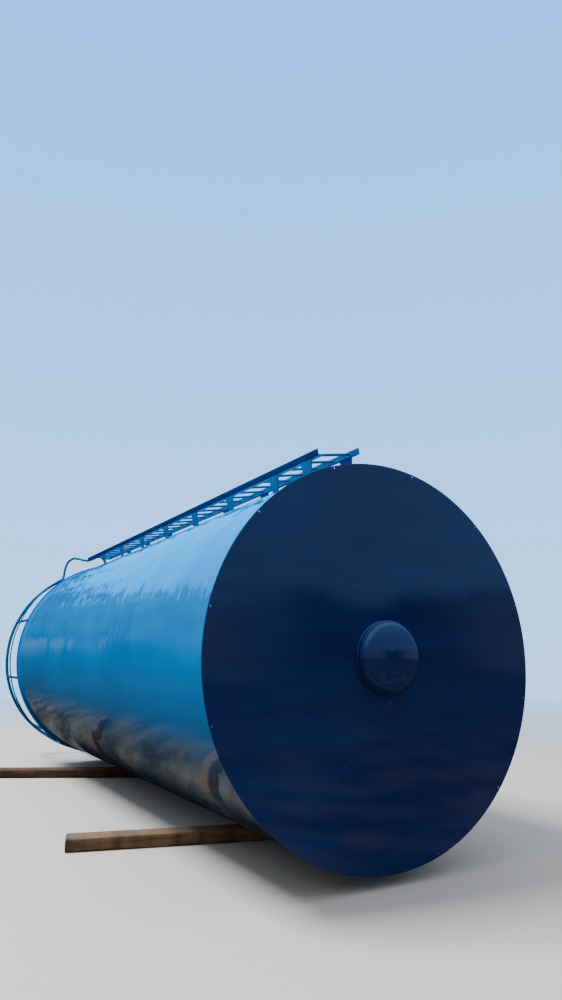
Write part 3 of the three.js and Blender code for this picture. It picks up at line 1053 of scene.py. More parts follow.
away = Vector((math.cos(LADDER_ANGLE), 0, math.sin(LADDER_ANGLE)))
across = Vector((away.z, 0, -away.x))
LADDER_FRAME = Matrix(
    (
        (across.x, 0, away.x, 0),
        (0, 1, 0, 0),
        (across.z, 0, away.z, AXIS_HEIGHT),
        (0, 0, 0, 1),
    )
)
print(f"The ladder has {LADDER_SECTIONS * RUNGS_PER_SECTION} rungs, {1000 * RUNG_PITCH:.0f} mm apart")


# %% Bars, and one mesh from several
def in_ladder(runs):
    """Runs made in the ladder's directions, turned into place."""
    turn = LADDER_FRAME.to_3x3()
    return [([(LADDER_FRAME @ point, turn @ out) for point, out in run], end) for run, end in runs]


def prism(outline, low, high, axis="Y"):
    """A closed solid with one section, from low to high along an axis, as a bmesh."""
    work = bmesh.new()
    rings = []
    for reach in (low, high):
        points = [(u, reach, v) if axis == "Y" else (reach, u, v) for u, v in outline]
        rings.append([work.verts.new(point) for point in points])
    for i in range(len(outline)):
        j = (i + 1) % len(outline)
        work.faces.new((rings[0][i], rings[0][j], rings[1][j], rings[1][i]))
    work.faces.new(rings[0])
    work.faces.new(rings[1])
    bmesh.ops.recalc_face_normals(work, faces=work.faces)
    return work


def join_parts(name, parts, place):
    """One mesh from several bmeshes, put in place and shaded."""
    mesh = bpy.data.meshes.new(name)
    whole = bmesh.new()
    for part in parts:
        scratch = bpy.data.meshes.new("scratch")
        part.to_mesh(scratch)
        part.free()
        whole.from_mesh(scratch)
        bpy.data.meshes.remove(scratch)
    whole.to_mesh(mesh)
    whole.free()
    mesh.transform(place)
    mesh.shade_smooth()
    mesh.set_sharp_from_angle(angle=CRISP_ANGLE)
    return mesh


# %% The section of a rolled angle
def rounded(middle, radius, start, end, steps=4):
    """Points of an arc, from one direction to another in degrees."""
    turns = [math.radians(start + (end - start) * i / steps) for i in range(steps + 1)]
    return [(middle[0] + radius * math.cos(t), middle[1] + radius * math.sin(t)) for t in turns]


def stringer_section(side):
    """A rolled angle as (across, away) points: crisp heel, rounded toes, and a filleted root."""
    root = ANGLE_THICKNESS + ANGLE_ROOT
    flange_toe = (ANGLE_LEG - ANGLE_TOE, ANGLE_THICKNESS - ANGLE_TOE)
    web_toe = (ANGLE_THICKNESS - ANGLE_TOE, ANGLE_LEG - ANGLE_TOE)
    inward_and_up = [
        *rounded((ANGLE_HEEL, ANGLE_HEEL), ANGLE_HEEL, 180, 270, 2),
        (ANGLE_LEG, 0),
        *rounded(flange_toe, ANGLE_TOE, 0, 90),
        *rounded((root, root), ANGLE_ROOT, 270, 180),
        *rounded(web_toe, ANGLE_TOE, 0, 90),
        *rounded((ANGLE_HEEL, ANGLE_LEG - ANGLE_HEEL), ANGLE_HEEL, 90, 180, 2),
    ]
    edge = LADDER_WIDTH / 2
    return [(side * (edge - u), STRINGER_INNER_RADIUS + v) for u, v in inward_and_up]


# %% Tree for the rungs
RUNG_SIDES = 16
RUNG_POINTS = 101  # 4 mm apart, so that each weld collar gets two of them

tree, given = new_tree(
    "rungs",
    Count="Int",
    Pitch="Float",
    Start="Float",
    Length="Float",
    Radius="Float",
    Collar="Float",
    Collar_Length="Float",
    Away="Float",
    Material="Material",
)
first = add(tree, "ShaderNodeCombineXYZ", {"Y": given["Start"], "Z": given["Away"]})
pitch = add(tree, "ShaderNodeCombineXYZ", {"Y": given["Pitch"]})
spots = add(
    tree,
    "GeometryNodeMeshLine",
    {"Count": given["Count"], "Start Location": first, "Offset": pitch},
)
half = add(tree, "ShaderNodeMath", {0: given["Length"], 1: 2.0}, operation="DIVIDE")
right = add(tree, "ShaderNodeCombineXYZ", {"X": half})
left = add(tree, "ShaderNodeVectorMath", {0: right, "Scale": -1.0}, operation="SCALE")
line = add(tree, "GeometryNodeCurvePrimitiveLine", {"Start": left, "End": right})
line = add(tree, "GeometryNodeResampleCurve", {"Curve": line, "Count": RUNG_POINTS}, mode="COUNT")
place = add(tree, "ShaderNodeSeparateXYZ", {0: add(tree, "GeometryNodeInputPosition")})
distance = add(tree, "ShaderNodeMath", {0: place.outputs["X"]}, operation="ABSOLUTE")
inner_end = add(tree, "ShaderNodeMath", {0: half, 1: given["Collar Length"]}, operation="SUBTRACT")
swell = add(
    tree,
    "ShaderNodeMapRange",
    {
        "Value": distance,
        "From Min": inner_end,
        "From Max": half,
        "To Min": given["Radius"],
        "To Max": given["Collar"],
    },
)
ring = add(
    tree, "GeometryNodeCurvePrimitiveCircle", {"Resolution": RUNG_SIDES, "Radius": 1.0}, mode="RADIUS"
)
rung = add(
    tree,
    "GeometryNodeCurveToMesh",
    {"Curve": line, "Profile Curve": ring, "Scale": swell, "Fill Caps": True},
)
rungs = add(tree, "GeometryNodeInstanceOnPoints", {"Points": spots, "Instance": rung})
end_tree(tree, rungs, given["Material"])
rung_tree = tree

# %% Build the four lengths of ladder
JOINT_BEAD = {"Width": 0.009, "Height": 0.0012, "Ripple": 0.005, "Unevenness": 0.5, "Seed": 4.0}
COLLAR_LEG = 0.006  # how far a weld collar stands out from its rung
COLLAR_LENGTH = 0.009

joints = []
for number in range(1, LADDER_SECTIONS + 1):
    node = f"ladder_section_{number}"
    low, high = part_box(node)
    sides = [prism(stringer_section(side), low.y, high.y) for side in (-1, 1)]
    for side, bar in zip((-1, 1), sides):
        for face in bar.faces:
            faces_out = face.normal.x * side > 0.9
            face.material_index = 1 if faces_out else 0
    stringers = piece(
        f"ladder_stringers_{number}",
        join_parts(f"stringers_{number}", sides, LADDER_FRAME),
        shaded_rail_blue,
        shaded_rail_navy,
    )
    settle(stringers, "rail_blue_enamel", node)
    bars = grow(
        f"ladder_rungs_{number}",
        rung_tree,
        Count=RUNGS_PER_SECTION,
        Pitch=RUNG_PITCH,
        Start=low.y + RUNG_PITCH / 2,
        Length=LADDER_WIDTH - 2 * (ANGLE_THICKNESS - RUNG_BITE),
        Radius=RUNG_RADIUS,
        Collar=RUNG_RADIUS + COLLAR_LEG,
        Collar_Length=COLLAR_LENGTH,
        Away=RUNG_LINE,
        Material=shaded_rail_blue,
    )
    bars.data.transform(LADDER_FRAME)
    settle(bars, "rail_blue_enamel", node)
    if number > 1:
        for side in (-1, 1):
            ends = (STRINGER_INNER_RADIUS + STAND_OFF, STRINGER_OUTER_RADIUS - STAND_OFF)
            outer = [Vector((side * LADDER_WIDTH / 2, low.y, reach)) for reach in ends]
            joints.append(([(point, Vector((side, 0, 0))) for point in outer], False))
joint_welds = grow(
    "ladder_joint_welds",
    weld_bead,
    path_mesh("joints", in_ladder(joints)),
    Material=shaded_rail_navy,
    **JOINT_BEAD,
)
settle(joint_welds, "rail_blue_enamel")

# %% [markdown]
# ## Stand-off brackets
# Eight pairs of plates hold the ladder off the shell, so that a boot has room behind each rung.
# Each plate is widest under its stringer and narrows to its foot, which is cut to the curve of
# the shell and welded down on both sides.

# %% Brackets with their welds
BRACKET_PAIRS = 8
BRACKET_THICKNESS = 0.01
BRACKET_TOP_WIDTH = 0.18
BRACKET_FOOT_WIDTH = 0.1
BRACKET_BITE = 0.006  # into the shell, so that its uneven plate leaves no gap
BRACKET_EASE = 0.0012
FOOT_MARGIN = 0.002  # from the end of a weld to the edge of its plate
FOOT_BEAD = {"Width": 0.012, "Height": 0.006, "Ripple": 0.006, "Unevenness": 0.5, "Seed": 5.0}

plates, bracket_runs = [], []
for number in range(1, BRACKET_PAIRS + 1):
    low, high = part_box(f"ladder_bracket_left_{number}")
    middle = (low.y + high.y) / 2
    for side in (-1, 1):
        outer = side * LADDER_WIDTH / 2
        inner = outer - side * BRACKET_THICKNESS
        foot = math.sqrt(SHELL_RADIUS**2 - outer**2) - BRACKET_BITE
        half_plate = [
            (BRACKET_TOP_WIDTH / 2, STRINGER_INNER_RADIUS),
            (BRACKET_FOOT_WIDTH / 2, SHELL_RADIUS),
            (BRACKET_FOOT_WIDTH / 2, foot),
        ]
        outline = [(middle + u, v) for u, v in half_plate]
        outline += [(middle - u, v) for u, v in reversed(half_plate)]
        plate = prism(outline, min(inner, outer), max(inner, outer), axis="X")
        bmesh.ops.bevel(
            plate,
            geom=plate.edges[:],
            offset=BRACKET_EASE,
            segments=2,
            affect="EDGES",
            profile=0.5,
        )
        plates.append(plate)
        for x, face in ((outer, side), (inner, -side)):
            z = math.sqrt(SHELL_RADIUS**2 - x**2)
            reach = BRACKET_FOOT_WIDTH / 2 - FOOT_MARGIN
            ends = [Vector((x, middle + end * reach, z)) for end in (-1, 1)]
            outward = Vector((face, 0, 1)).normalized()
            bracket_runs.append(([(point, outward) for point in ends], False))
brackets = piece("ladder_brackets", join_parts("brackets", plates, LADDER_FRAME), shaded_rail_blue)
bracket_nodes = [
    f"ladder_bracket_{word}_{number}"
    for word in ("left", "right")
    for number in range(1, BRACKET_PAIRS + 1)
]
settle(brackets, "rail_blue_enamel", *bracket_nodes)
bracket_welds = grow(
    "bracket_welds",
    weld_bead,
    path_mesh("feet", in_ladder(bracket_runs)),
    Material=shaded_rail_blue,
    **FOOT_BEAD,
)
settle(bracket_welds, "rail_blue_enamel")

# %% [markdown]
# ## The guard rail
# Ten pipe posts stand on the roof in line with the shell, with a pipe on top and a thinner bar
# half way up. The rail leaves an opening where the ladder arrives. There two bent handrails lead
# from the ladder's sides to the ends of the top rail, so that a climber has something to hold
# while stepping through. All of these are round bars along a path, so one tree makes them.

# %% Tree for a pipe
tree, given = new_tree("pipe", Path="Geometry", Radius="Float", Sides="Int", Material="Material")
line = add(tree, "GeometryNodeMeshToCurve", {"Mesh": given["Path"]})
ring = add(
    tree,
    "GeometryNodeCurvePrimitiveCircle",
    {"Resolution": given["Sides"], "Radius": given["Radius"]},
    mode="RADIUS",
)
pipe = add(
    tree, "GeometryNodeCurveToMesh", {"Curve": line, "Profile Curve": ring, "Fill Caps": True}
)
end_tree(tree, pipe, given["Material"])
pipe_tree = tree

# %% Sizes of the guard rail
POSTS = 10
STEPS_PER_BAY = 7
RAIL_RADIUS = 1.51
TOP_RAIL_PIPE = 0.024
POST_PIPE = 0.019
MID_RAIL_BAR = 0.010
HANDRAIL_PIPE = 0.021
PIPE_SIDES = 20
OPENING_HALF_ANGLE = math.radians(23)
ALONG = Vector((0, 1, 0))

top_low, top_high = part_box("guard_top_rail")
mid_low, mid_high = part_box("guard_mid_rail")
TOP_RAIL = (top_low.y + top_high.y) / 2
MID_RAIL = (mid_low.y + mid_high.y) / 2
opening = LADDER_ANGLE + OPENING_HALF_ANGLE
sweep = 2 * math.pi - 2 * OPENING_HALF_ANGLE
overhang = sweep / ((POSTS - 1) * STEPS_PER_BAY) / 2  # of the rails past the end posts
print(f"The rails run {math.degrees(sweep + 2 * overhang):.1f} degrees round the roof")


# %% Posts and rails
def arc(radius, along, steps=160):
    """An open run round the roof, from one side of the opening to the other."""
    start, whole = opening - overhang, sweep + 2 * overhang
    angles = [start + whole * i / steps for i in range(steps + 1)]
    return [(round_tank(angle, radius, along), ALONG) for angle in angles], False


post_angles = [opening + sweep * i / (POSTS - 1) for i in range(POSTS)]
post_runs = [
    ([(round_tank(angle, RAIL_RADIUS, y), FACE) for y in (roof_high.y, TOP_RAIL)], False)
    for angle in post_angles
]
posts = grow(
    "roof_posts",
    pipe_tree,
    path_mesh("posts", post_runs),
    Radius=POST_PIPE,
    Sides=PIPE_SIDES,
    Material=shaded_rail_blue,
)
settle(posts, "rail_blue_enamel", *[f"guard_post_{number}" for number in range(1, POSTS + 1)])
top_rail = grow(
    "roof_top_rail",
    pipe_tree,
    path_mesh("top", [arc(RAIL_RADIUS, TOP_RAIL)]),
    Radius=TOP_RAIL_PIPE,
    Sides=PIPE_SIDES,
    Material=shaded_rail_blue,
)
settle(top_rail, "rail_blue_enamel", "guard_top_rail")
mid_rail = grow(
    "roof_mid_rail",
    pipe_tree,
    path_mesh("mid", [arc(RAIL_RADIUS + POST_PIPE + MID_RAIL_BAR, MID_RAIL)]),
    Radius=MID_RAIL_BAR,
    Sides=PIPE_SIDES,
    Material=shaded_rail_blue,
)
settle(mid_rail, "rail_blue_enamel", "guard_mid_rail")

# %% A smooth path through the bends of a handrail
# Each bend: outward from the stringer, share of the climb to the top rail, away from the shell
HANDRAIL_BENDS = [
    (0, 0, 0),
    (0, 0.1, 0),
    (0, 0.4, 0.045),
    (0.008, 0.79, 0.115),
    (0.055, 0.94, 0.135),
    (0.130, 0.988, 0.085),
    (0.195, 0.998, -0.040),
]
HANDRAIL_RUN_IN = (0.085, 0)  # the last stretch, in line with the end of the top rail
HANDRAIL_STEPS = 60


def smooth_path(points, steps):
    """A smooth path through the points. It takes a close pair slowly, so that it never loops."""
    ends = [2 * points[0] - points[1], *points, 2 * points[-1] - points[-2]]
    path = []
    for i in range(steps + 1):
        whole = i / steps * (len(points) - 1)
        span = min(int(whole), len(points) - 2)
        share = whole - span
        a, b, c, d = ends[span : span + 4]
        first, second, third = (math.sqrt((q - p).length) for p, q in ((a, b), (b, c), (c, d)))
        leave = ((b - a) / first - (c - a) / (first + second) + (c - b) / second) * second
        arrive = ((c - b) / second - (d - b) / (second + third) + (d - c) / third) * second
        u, v = share * share, share**3
        path.append(
            b * (2 * v - 3 * u + 1)
            + leave * (v - 2 * u + share)
            + c * (3 * u - 2 * v)
            + arrive * (v - u)
        )
    return path


# %% Handrails, and the welds at the ends of the pipes
ladder_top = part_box(f"ladder_section_{LADDER_SECTIONS}")[1].y
inside = LADDER_WIDTH / 2 - HANDRAIL_PIPE
above = STRINGER_INNER_RADIUS + HANDRAIL_PIPE
rail_end = OPENING_HALF_ANGLE - overhang
pipe_ends = [collar(round_tank(a, RAIL_RADIUS, roof_high.y), ALONG, POST_PIPE) for a in post_angles]
for side, word in ((-1, "left"), (1, "right")):
    bends = [
        Vector((side * (inside + outward), ladder_top + share * (TOP_RAIL - ladder_top), above + lift))
        for outward, share, lift in HANDRAIL_BENDS
    ]
    for gap in HANDRAIL_RUN_IN:
        reach = RAIL_RADIUS * math.sin(rail_end) - gap * math.cos(rail_end)
        height = RAIL_RADIUS * math.cos(rail_end) + gap * math.sin(rail_end)
        bends.append(Vector((side * reach, TOP_RAIL, height)))
    run = [(LADDER_FRAME @ point, FACE) for point in smooth_path(bends, HANDRAIL_STEPS)]
    handrail = grow(
        f"entry_handrail_{word}",
        pipe_tree,
        path_mesh(f"handrail_{word}", [(run, False)]),
        Radius=HANDRAIL_PIPE,
        Sides=PIPE_SIDES,
        Material=shaded_rail_blue,
    )
    settle(handrail, "rail_blue_enamel", f"ladder_handrail_{word}")
    pipe_ends.append(collar(run[0][0], ALONG, HANDRAIL_PIPE))
    pipe_ends.append(collar(run[-1][0], run[-2][0] - run[-1][0], HANDRAIL_PIPE))
pipe_welds = grow(
    "pipe_end_welds", weld_bead, path_mesh("pipe_ends", pipe_ends), Material=shaded_rail_blue, **FOOT_BEAD
)
settle(pipe_welds, "rail_blue_enamel")

# %% [markdown]
# ## The timber bearers
# The tank rests on two heavy planks that lie askew under it. Sawn timber has flat faces but no
# sharp corners: its arrises are worn round, its faces wander by a few millimetres, and its ends
# are rough. A fine box is shaped by a rule for each point and keeps its own straight coordinates
# for the grain.

# %% Tree for a worn plank
PLANK_POINTS = {"Vertices X": 130, "Vertices Y": 13, "Vertices Z": 9}
LUMPS_PER_METRE = (2.0, 9.0, 9.0)  # along the plank, across it and down it
ARRIS_POWER = 6.0  # how close to its corner the wear of an arris stays

tree, given = new_tree(
    "worn_plank",
    Length="Float",
    Width="Float",
    Height="Float",
    Wear="Float",
    Seed="Float",
    Material="Material",
)
size = add(
    tree,
    "ShaderNodeCombineXYZ",
    {"X": given["Length"], "Y": given["Width"], "Z": given["Height"]},
)
block = add(tree, "GeometryNodeMeshCube", {"Size": size, **PLANK_POINTS})
where = add(tree, "GeometryNodeInputPosition")
kept = add(
    tree,
    "GeometryNodeStoreNamedAttribute",
    {"Geometry": block, "Name": "plank", "Value": where},
    data_type="FLOAT_VECTOR",
    domain="POINT",
)
stretched = add(
    tree, "ShaderNodeVectorMath", {0: where, 1: LUMPS_PER_METRE}, operation="MULTIPLY"
)
rough = add(
    tree,
    "ShaderNodeTexNoise",
    {"Vector": stretched, "W": given["Seed"], "Scale": 1.0, "Detail": 3.0},
    noise_dimensions="4D",
)
centred = add(
    tree,
    "ShaderNodeVectorMath",
    {0: rough.outputs["Color"], 1: (0.5, 0.5, 0.5)},
    operation="SUBTRACT",
)
wander = add(tree, "ShaderNodeVectorMath", {0: centred, "Scale": given["Wear"]}, operation="SCALE")
half = add(tree, "ShaderNodeVectorMath", {0: size, "Scale": 0.5}, operation="SCALE")
relative = add(tree, "ShaderNodeVectorMath", {0: where, 1: half}, operation="DIVIDE")
part = add(tree, "ShaderNodeSeparateXYZ", {0: relative}).outputs
corner = add(tree, "ShaderNodeMath", {0: part["Y"], 1: part["Z"]}, operation="MULTIPLY")
corner = add(tree, "ShaderNodeMath", {0: corner}, operation="ABSOLUTE")
corner = add(tree, "ShaderNodeMath", {0: corner, 1: ARRIS_POWER}, operation="POWER")
ease = add(tree, "ShaderNodeMath", {0: corner, 1: given["Wear"]}, operation="MULTIPLY")
inward = add(tree, "ShaderNodeVectorMath", {0: relative, "Scale": -1.0}, operation="SCALE")
inward = add(tree, "ShaderNodeVectorMath", {0: inward, "Scale": ease}, operation="SCALE")
moved = add(tree, "ShaderNodeVectorMath", {0: wander, 1: inward}, operation="ADD")
worn = add(tree, "GeometryNodeSetPosition", {"Geometry": kept, "Offset": moved})
end_tree(tree, worn, given["Material"])
plank_tree = tree

# %% Lay the two bearers
BEARER_WIDTH = 0.2
BEARER_HEIGHT = 0.12
BEARERS = {
    "bearer_near_base": {"length": 3.8, "yaw": -16, "seed": 2.0, "timber": lit_timber},
    "bearer_near_roof": {"length": 4.2, "yaw": -28, "seed": 9.0, "timber": shaded_timber},
}
TIMBER_WEAR = 0.008

for node, plan in BEARERS.items():
    low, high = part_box(node)
    plank = grow(
        f"{node}_timber",
        plank_tree,
        Length=plan["length"],
        Width=BEARER_WIDTH,
        Height=BEARER_HEIGHT,
        Wear=TIMBER_WEAR,
        Seed=plan["seed"],
        Material=plan["timber"],
    )
    turn = Matrix.Rotation(math.radians(plan["yaw"]), 4, "Z")
    plank.data.transform(Matrix.Translation((low + high) / 2) @ turn)
    for vertex in plank.data.vertices:
        vertex.co.z = max(vertex.co.z, low.z)  # it lies flat on the floor
    settle(plank, "timber", node)

# %% [markdown]
# ## The studio
# Gloss paint looks like what it mirrors, so the light matters as much as the paint, and a render
# can answer each kind of ray in its own way. What the camera sees is plain: a pale floor that
# runs without an edge into a pale backdrop. What lights the paint is soft: a white fill that
# grows brighter overhead, and one wide panel high on the left. What the gloss mirrors is shaped,
# as screens shape it in a studio for glossy wares. A deep blue dome gives the shell its bright
# top, a dark band with an uneven edge gives it its line of shade, and grey cards in the band
# lighten it in places. Heights in the dome are the Z of a direction: nought at the horizon and
# one overhead.

# %% Backdrop for the camera
BACKDROP_LOW = "#86b2dc"
BACKDROP_HIGH = "#5098ea"
BACKDROP_STRENGTH = 3.0
BACKDROP_TOP = 0.75  # the height where the upper colour is reached

world = bpy.data.worlds.new("studio")
world.use_nodes = True
bpy.context.scene.world = world
room = world.node_tree
direction = add(room, "ShaderNodeTexCoord").outputs["Generated"]
heading = add(room, "ShaderNodeSeparateXYZ", {0: direction}).outputs
rise = add(room, "ShaderNodeMapRange", {"Value": heading["Z"], "From Max": BACKDROP_TOP})
backdrop = add(
    room,
    "ShaderNodeMix",
    {"Factor": rise, "A": BACKDROP_LOW, "B": BACKDROP_HIGH},
    data_type="RGBA",
)
backdrop = add(room, "ShaderNodeBackground", {"Color": backdrop, "Strength": BACKDROP_STRENGTH})

# %% The blue dome
DOME_AHEAD = "#00a4ff"  # towards the roof
DOME_BEHIND = "#80b4f4"  # towards the base
DOME_STRENGTH = 3.1
DOME_STRENGTH_BEHIND = (1.05, 3.4)  # low down and high up
DOME_LOW = 0.25
DOME_HIGH = 0.8

ahead = add(room, "ShaderNodeMapRange", {"Value": heading["Y"], "From Min": -0.3, "From Max": 0.5})
behind = add(room, "ShaderNodeMath", {0: 1.0, 1: ahead}, operation="SUBTRACT")
strength = add(
    room,
    "ShaderNodeMapRange",
    {
        "Value": heading["Z"],
        "From Min": DOME_LOW,
        "From Max": DOME_HIGH,
        "To Min": DOME_STRENGTH_BEHIND[0],
        "To Max": DOME_STRENGTH_BEHIND[1],
    },
)
strength = add(
    room, "ShaderNodeMapRange", {"Value": ahead, "To Min": strength, "To Max": DOME_STRENGTH}
)
dome = add(
    room, "ShaderNodeMix", {"Factor": ahead, "A": DOME_BEHIND, "B": DOME_AHEAD}, data_type="RGBA"
)
dome = add(room, "ShaderNodeBackground", {"Color": dome, "Strength": strength})

# %% The upper edge of the dark band
BAND_TOP_AHEAD = math.sin(math.radians(14.4))
BAND_TOP_BEHIND = math.sin(math.radians(5))
BAND_LEAN = 0.21  # ahead, it stands higher towards the left
TOOTH_AHEAD = 0.42  # height of the teeth, for the whole range of the noise
TOOTH_BEHIND = 0.042
TEETH = (34.0, 8.0, 1.0)  # how many along the edge and up it, for one unit of direction
TOOTH_SLANT = -0.83
WAVE_BEHIND = 0.12  # height of the waves, likewise
WAVES = 9.0

slant = add(
    room,
    "ShaderNodeMath",
    {0: heading["Z"], 1: TOOTH_SLANT, 2: heading["X"]},
    operation="MULTIPLY_ADD",
)
slanted = add(room, "ShaderNodeCombineXYZ", {"X": slant, "Y": heading["Z"]})
slanted = add(room, "ShaderNodeMapping", {"Vector": slanted, "Scale": TEETH})
teeth = add(
    room, "ShaderNodeTexNoise", {"Vector": slanted, "Scale": 1.0, "Detail": 5.0, "Roughness": 0.6}
)
teeth = add(room, "ShaderNodeMath", {0: teeth, 1: 0.5}, operation="SUBTRACT")
tooth_size = add(
    room, "ShaderNodeMapRange", {"Value": ahead, "To Min": TOOTH_BEHIND, "To Max": TOOTH_AHEAD}
)
band_top = add(
    room,
    "ShaderNodeMapRange",
    {"Value": ahead, "To Min": BAND_TOP_BEHIND, "To Max": BAND_TOP_AHEAD},
)
lean = add(room, "ShaderNodeMath", {0: heading["X"], 1: -BAND_LEAN}, operation="MULTIPLY")
edge = add(room, "ShaderNodeMath", {0: lean, 1: ahead, 2: band_top}, operation="MULTIPLY_ADD")
edge = add(room, "ShaderNodeMath", {0: teeth, 1: tooth_size, 2: edge}, operation="MULTIPLY_ADD")
waves = add(room, "ShaderNodeTexNoise", {"Vector": direction, "Scale": WAVES, "Detail": 2.0})
waves = add(room, "ShaderNodeMath", {0: waves, 1: 0.5}, operation="SUBTRACT")
waves = add(room, "ShaderNodeMath", {0: waves, 1: behind}, operation="MULTIPLY")
edge = add(room, "ShaderNodeMath", {0: waves, 1: WAVE_BEHIND, 2: edge}, operation="MULTIPLY_ADD")
above = add(room, "ShaderNodeMath", {0: heading["Z"], 1: edge}, operation="SUBTRACT")

# %% [markdown]
# Just above its edge the band frays into dark wisps, which break up the bright top of the shell.

# %% Wisps over the edge
WISPS = 0.6  # how much of the dome they hide at the edge
WISPS_REACH = 0.11
WISP_SCALE = 2.2  # to one tooth
EDGE_SOFTNESS = 0.004

wisps = add(room, "ShaderNodeTexNoise", {"Vector": slanted, "Scale": WISP_SCALE, "Detail": 3.0})
wisps = add(room, "ShaderNodeMapRange", {"Value": wisps, "From Min": 0.5, "From Max": 0.62})
near_edge = add(
    room,
    "ShaderNodeMapRange",
    {"Value": above, "From Min": WISPS_REACH, "From Max": 0.0, "To Max": WISPS},
)
for share in (near_edge, ahead):
    wisps = add(room, "ShaderNodeMath", {0: wisps, 1: share}, operation="MULTIPLY")
clear = add(
    room,
    "ShaderNodeMapRange",
    {"Value": above, "From Min": -EDGE_SOFTNESS, "From Max": EDGE_SOFTNESS},
)
clear = add(room, "ShaderNodeMath", {0: clear, 1: wisps}, operation="SUBTRACT", use_clamp=True)

# %% [markdown]
# Two grey cards stand behind the camera, with a gap between them, and lighten the base on both
# sides of its middle. A darker one stands low ahead, and lightens the shell near the roof.

# %% The band and its cards
BAND = "#1a1c1e"
CARD_BEHIND = "#9a9fa8"
GAP_MIDDLE = 0.585  # the X of a direction
GAP_EDGE = (0.06, 0.24)  # to each side of its middle
CARD_AHEAD = "#6a6c74"
CARD_AHEAD_LEFT = (-0.225, -0.195)  # the X where it starts and where it is whole
CARD_AHEAD_TOP = (0.09, 0.07)  # heights, in the same order
CARD_AHEAD_FOOT = (-0.02, 0.06)

aside = add(room, "ShaderNodeMath", {0: heading["X"], 1: GAP_MIDDLE}, operation="SUBTRACT")
aside = add(room, "ShaderNodeMath", {0: aside}, operation="ABSOLUTE")
aside = add(
    room, "ShaderNodeMapRange", {"Value": aside, "From Min": GAP_EDGE[0], "From Max": GAP_EDGE[1]}
)
cards_behind = add(room, "ShaderNodeMath", {0: aside, 1: behind}, operation="MULTIPLY")
card_ahead = ahead
for part, (start, whole) in (
    ("X", CARD_AHEAD_LEFT),
    ("Z", CARD_AHEAD_TOP),
    ("Z", CARD_AHEAD_FOOT),
):
    inside = add(
        room,
        "ShaderNodeMapRange",
        {"Value": heading[part], "From Min": start, "From Max": whole},
    )
    card_ahead = add(room, "ShaderNodeMath", {0: card_ahead, 1: inside}, operation="MULTIPLY")
band = BAND
for share, colour in ((card_ahead, CARD_AHEAD), (cards_behind, CARD_BEHIND)):
    band = add(room, "ShaderNodeMix", {"Factor": share, "A": band, "B": colour}, data_type="RGBA")
band = add(room, "ShaderNodeBackground", {"Color": band, "Strength": 1.0})
mirrored = add(room, "ShaderNodeMixShader", {0: clear, 1: band, 2: dome})

# %% The fill, and the answer to each kind of ray
FILL = "#ffffff"
FILL_STRENGTH = (0.12, 0.85)  # low down and overhead
FILL_LOW = 0.05
FILL_HIGH = 0.7

strength = add(
    room,
    "ShaderNodeMapRange",
    {
        "Value": heading["Z"],
        "From Min": FILL_LOW,
        "From Max": FILL_HIGH,
        "To Min": FILL_STRENGTH[0],
        "To Max": FILL_STRENGTH[1],
    },
)
fill = add(room, "ShaderNodeBackground", {"Color": FILL, "Strength": strength})
ray = add(room, "ShaderNodeLightPath").outputs
hidden = add(room, "ShaderNodeMixShader", {0: ray["Is Glossy Ray"], 1: fill, 2: mirrored})
answer = add(room, "ShaderNodeMixShader", {0: ray["Is Camera Ray"], 1: hidden, 2: backdrop})
feed(room, room.nodes["World Output"], {"Surface": answer})
print(f"The studio has {len(room.nodes)} nodes")

# %% [markdown]
# ## The floor
# To the camera the floor is plain and pale, and far away it fades into the backdrop. Every other
# ray meets a darker floor, so that the shell's underside mirrors shade and not a white sheet. That
# one is softly patched under the tank and before its base, and even and dark on both sides.

# %% Floor
FLOOR_HALF = 60.0
FLOOR_SEEN = "#dcd9d2"
FADE = (7.0, 24.0)  # from the middle, where it starts and is whole
BEFORE_BASE = ("#2d2c2b", "#6c6963")  # dark and light patches
BY_BASE = ("#55554f", "#817f78")
BY_ROOF = ("#353635", "#5f5f5a")
PATCH = 0.909  # from one to the next
BASE_TO_ROOF = (-2.2, -0.4)  # the Y where the one gives way to the other
FRONT = (-6.0, -4.8)  # the same, from before the base to under it
EVEN = "#2c2b2a"
EVEN_SIDE = (1.75, 2.5)  # from the middle to each side, where it starts and is whole

floor_mesh = bpy.data.meshes.new("floor")
corners = [(x, y, 0) for x, y in ((-1, -1), (1, -1), (1, 1), (-1, 1))]
corners = [(x * FLOOR_HALF, y * FLOOR_HALF, z) for x, y, z in corners]
floor_mesh.from_pydata(corners, [], [(0, 1, 2, 3)])
floor_paint = bpy.data.materials.new("pale_floor")
floor_paint.use_nodes = True
tree = floor_paint.node_tree
plain_floor = tree.nodes["Principled BSDF"]
feed(tree, plain_floor, {"Base Color": FLOOR_SEEN, "Roughness": 0.9})
place = add(tree, "ShaderNodeTexCoord").outputs["Object"]
distance = add(tree, "ShaderNodeVectorMath", {0: place}, operation="LENGTH").outputs["Value"]
fade = add(tree, "ShaderNodeMapRange", {"Value": distance, "From Min": FADE[0], "From Max": FADE[1]})
haze = add(tree, "ShaderNodeEmission", {"Color": BACKDROP_LOW, "Strength": BACKDROP_STRENGTH})
seen = add(tree, "ShaderNodeMixShader", {0: fade, 1: plain_floor, 2: haze})

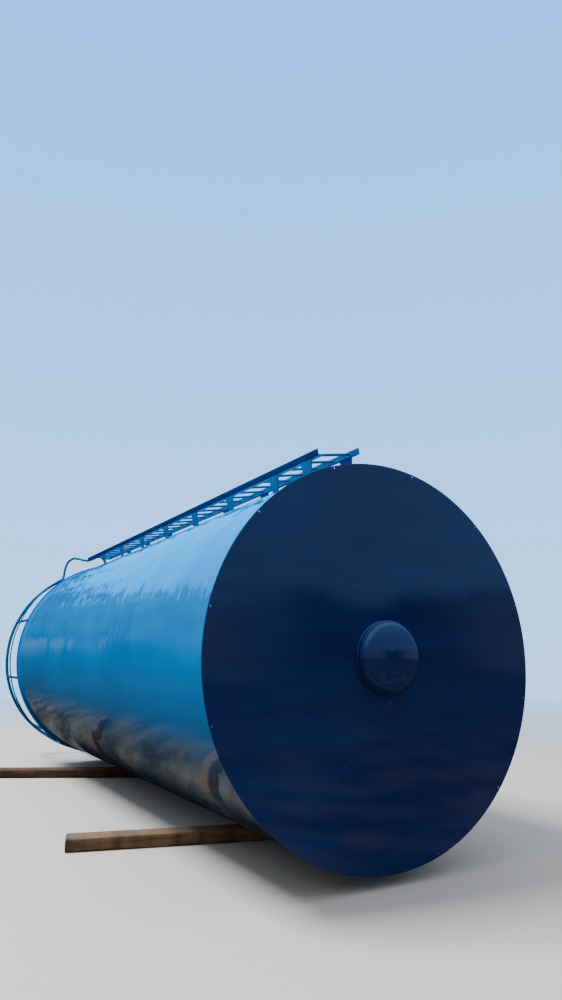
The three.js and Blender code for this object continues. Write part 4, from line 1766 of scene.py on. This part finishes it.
# %% The floor for every other ray
part = add(tree, "ShaderNodeSeparateXYZ", {0: place}).outputs
side = add(tree, "ShaderNodeMath", {0: part["X"]}, operation="ABSOLUTE")
even, front, towards_roof = (
    add(tree, "ShaderNodeMapRange", {"Value": value, "From Min": start, "From Max": whole})
    for value, (start, whole) in ((side, EVEN_SIDE), (part["Y"], FRONT), (part["Y"], BASE_TO_ROOF))
)
even = add(tree, "ShaderNodeMath", {0: even, 1: front}, operation="MULTIPLY")
patches = add(
    tree,
    "ShaderNodeTexNoise",
    {"Vector": place, "Scale": 1 / PATCH, "Detail": 8.0, "Roughness": 0.6},
)
patches = add(tree, "ShaderNodeMapRange", {"Value": patches, "From Min": 0.42, "From Max": 0.6})
tones = []
for before_base, by_base, by_roof in zip(BEFORE_BASE, BY_BASE, BY_ROOF):
    tone = add(
        tree,
        "ShaderNodeMix",
        {"Factor": towards_roof, "A": by_base, "B": by_roof},
        data_type="RGBA",
    )
    tones.append(
        add(
            tree, "ShaderNodeMix", {"Factor": front, "A": before_base, "B": tone}, data_type="RGBA"
        )
    )
dark, light = tones
patched = dark
for share, tone in ((patches, light), (even, EVEN)):
    patched = add(
        tree, "ShaderNodeMix", {"Factor": share, "A": patched, "B": tone}, data_type="RGBA"
    )
bounce = add(tree, "ShaderNodeBsdfDiffuse", {"Color": patched})
camera_ray = add(tree, "ShaderNodeLightPath").outputs["Is Camera Ray"]
answer = add(tree, "ShaderNodeMixShader", {0: camera_ray, 1: bounce, 2: seen})
feed(tree, tree.nodes["Material Output"], {"Surface": answer})
floor = piece("floor", floor_mesh, floor_paint)
print(f"The floor's material has {len(tree.nodes)} nodes")

# %% Light panel
TANK_MIDDLE = Vector((0, 0, AXIS_HEIGHT))
PANEL_DIRECTION = Vector((-0.50, 0.08, 0.86)).normalized()
PANEL_DISTANCE = 20.0
PANEL_SIZE = 7.0
PANEL_POWER = 6400

panel_data = bpy.data.lights.new("overhead_panel", "AREA")
panel_data.shape = "SQUARE"
panel_data.size = PANEL_SIZE
panel_data.energy = PANEL_POWER
panel = bpy.data.objects.new("overhead_panel", panel_data)
panel.location = TANK_MIDDLE + PANEL_DIRECTION * PANEL_DISTANCE
panel.rotation_euler = (-PANEL_DIRECTION).to_track_quat("-Z", "Y").to_euler()
panel.visible_glossy = False
bpy.context.scene.collection.objects.link(panel)
print(f"The panel hangs {panel.location.z:.1f} m above the floor")

# %% Finish: the box of the model
print("Model", [round(v, 4) for v in (*cad_low, *cad_high)])
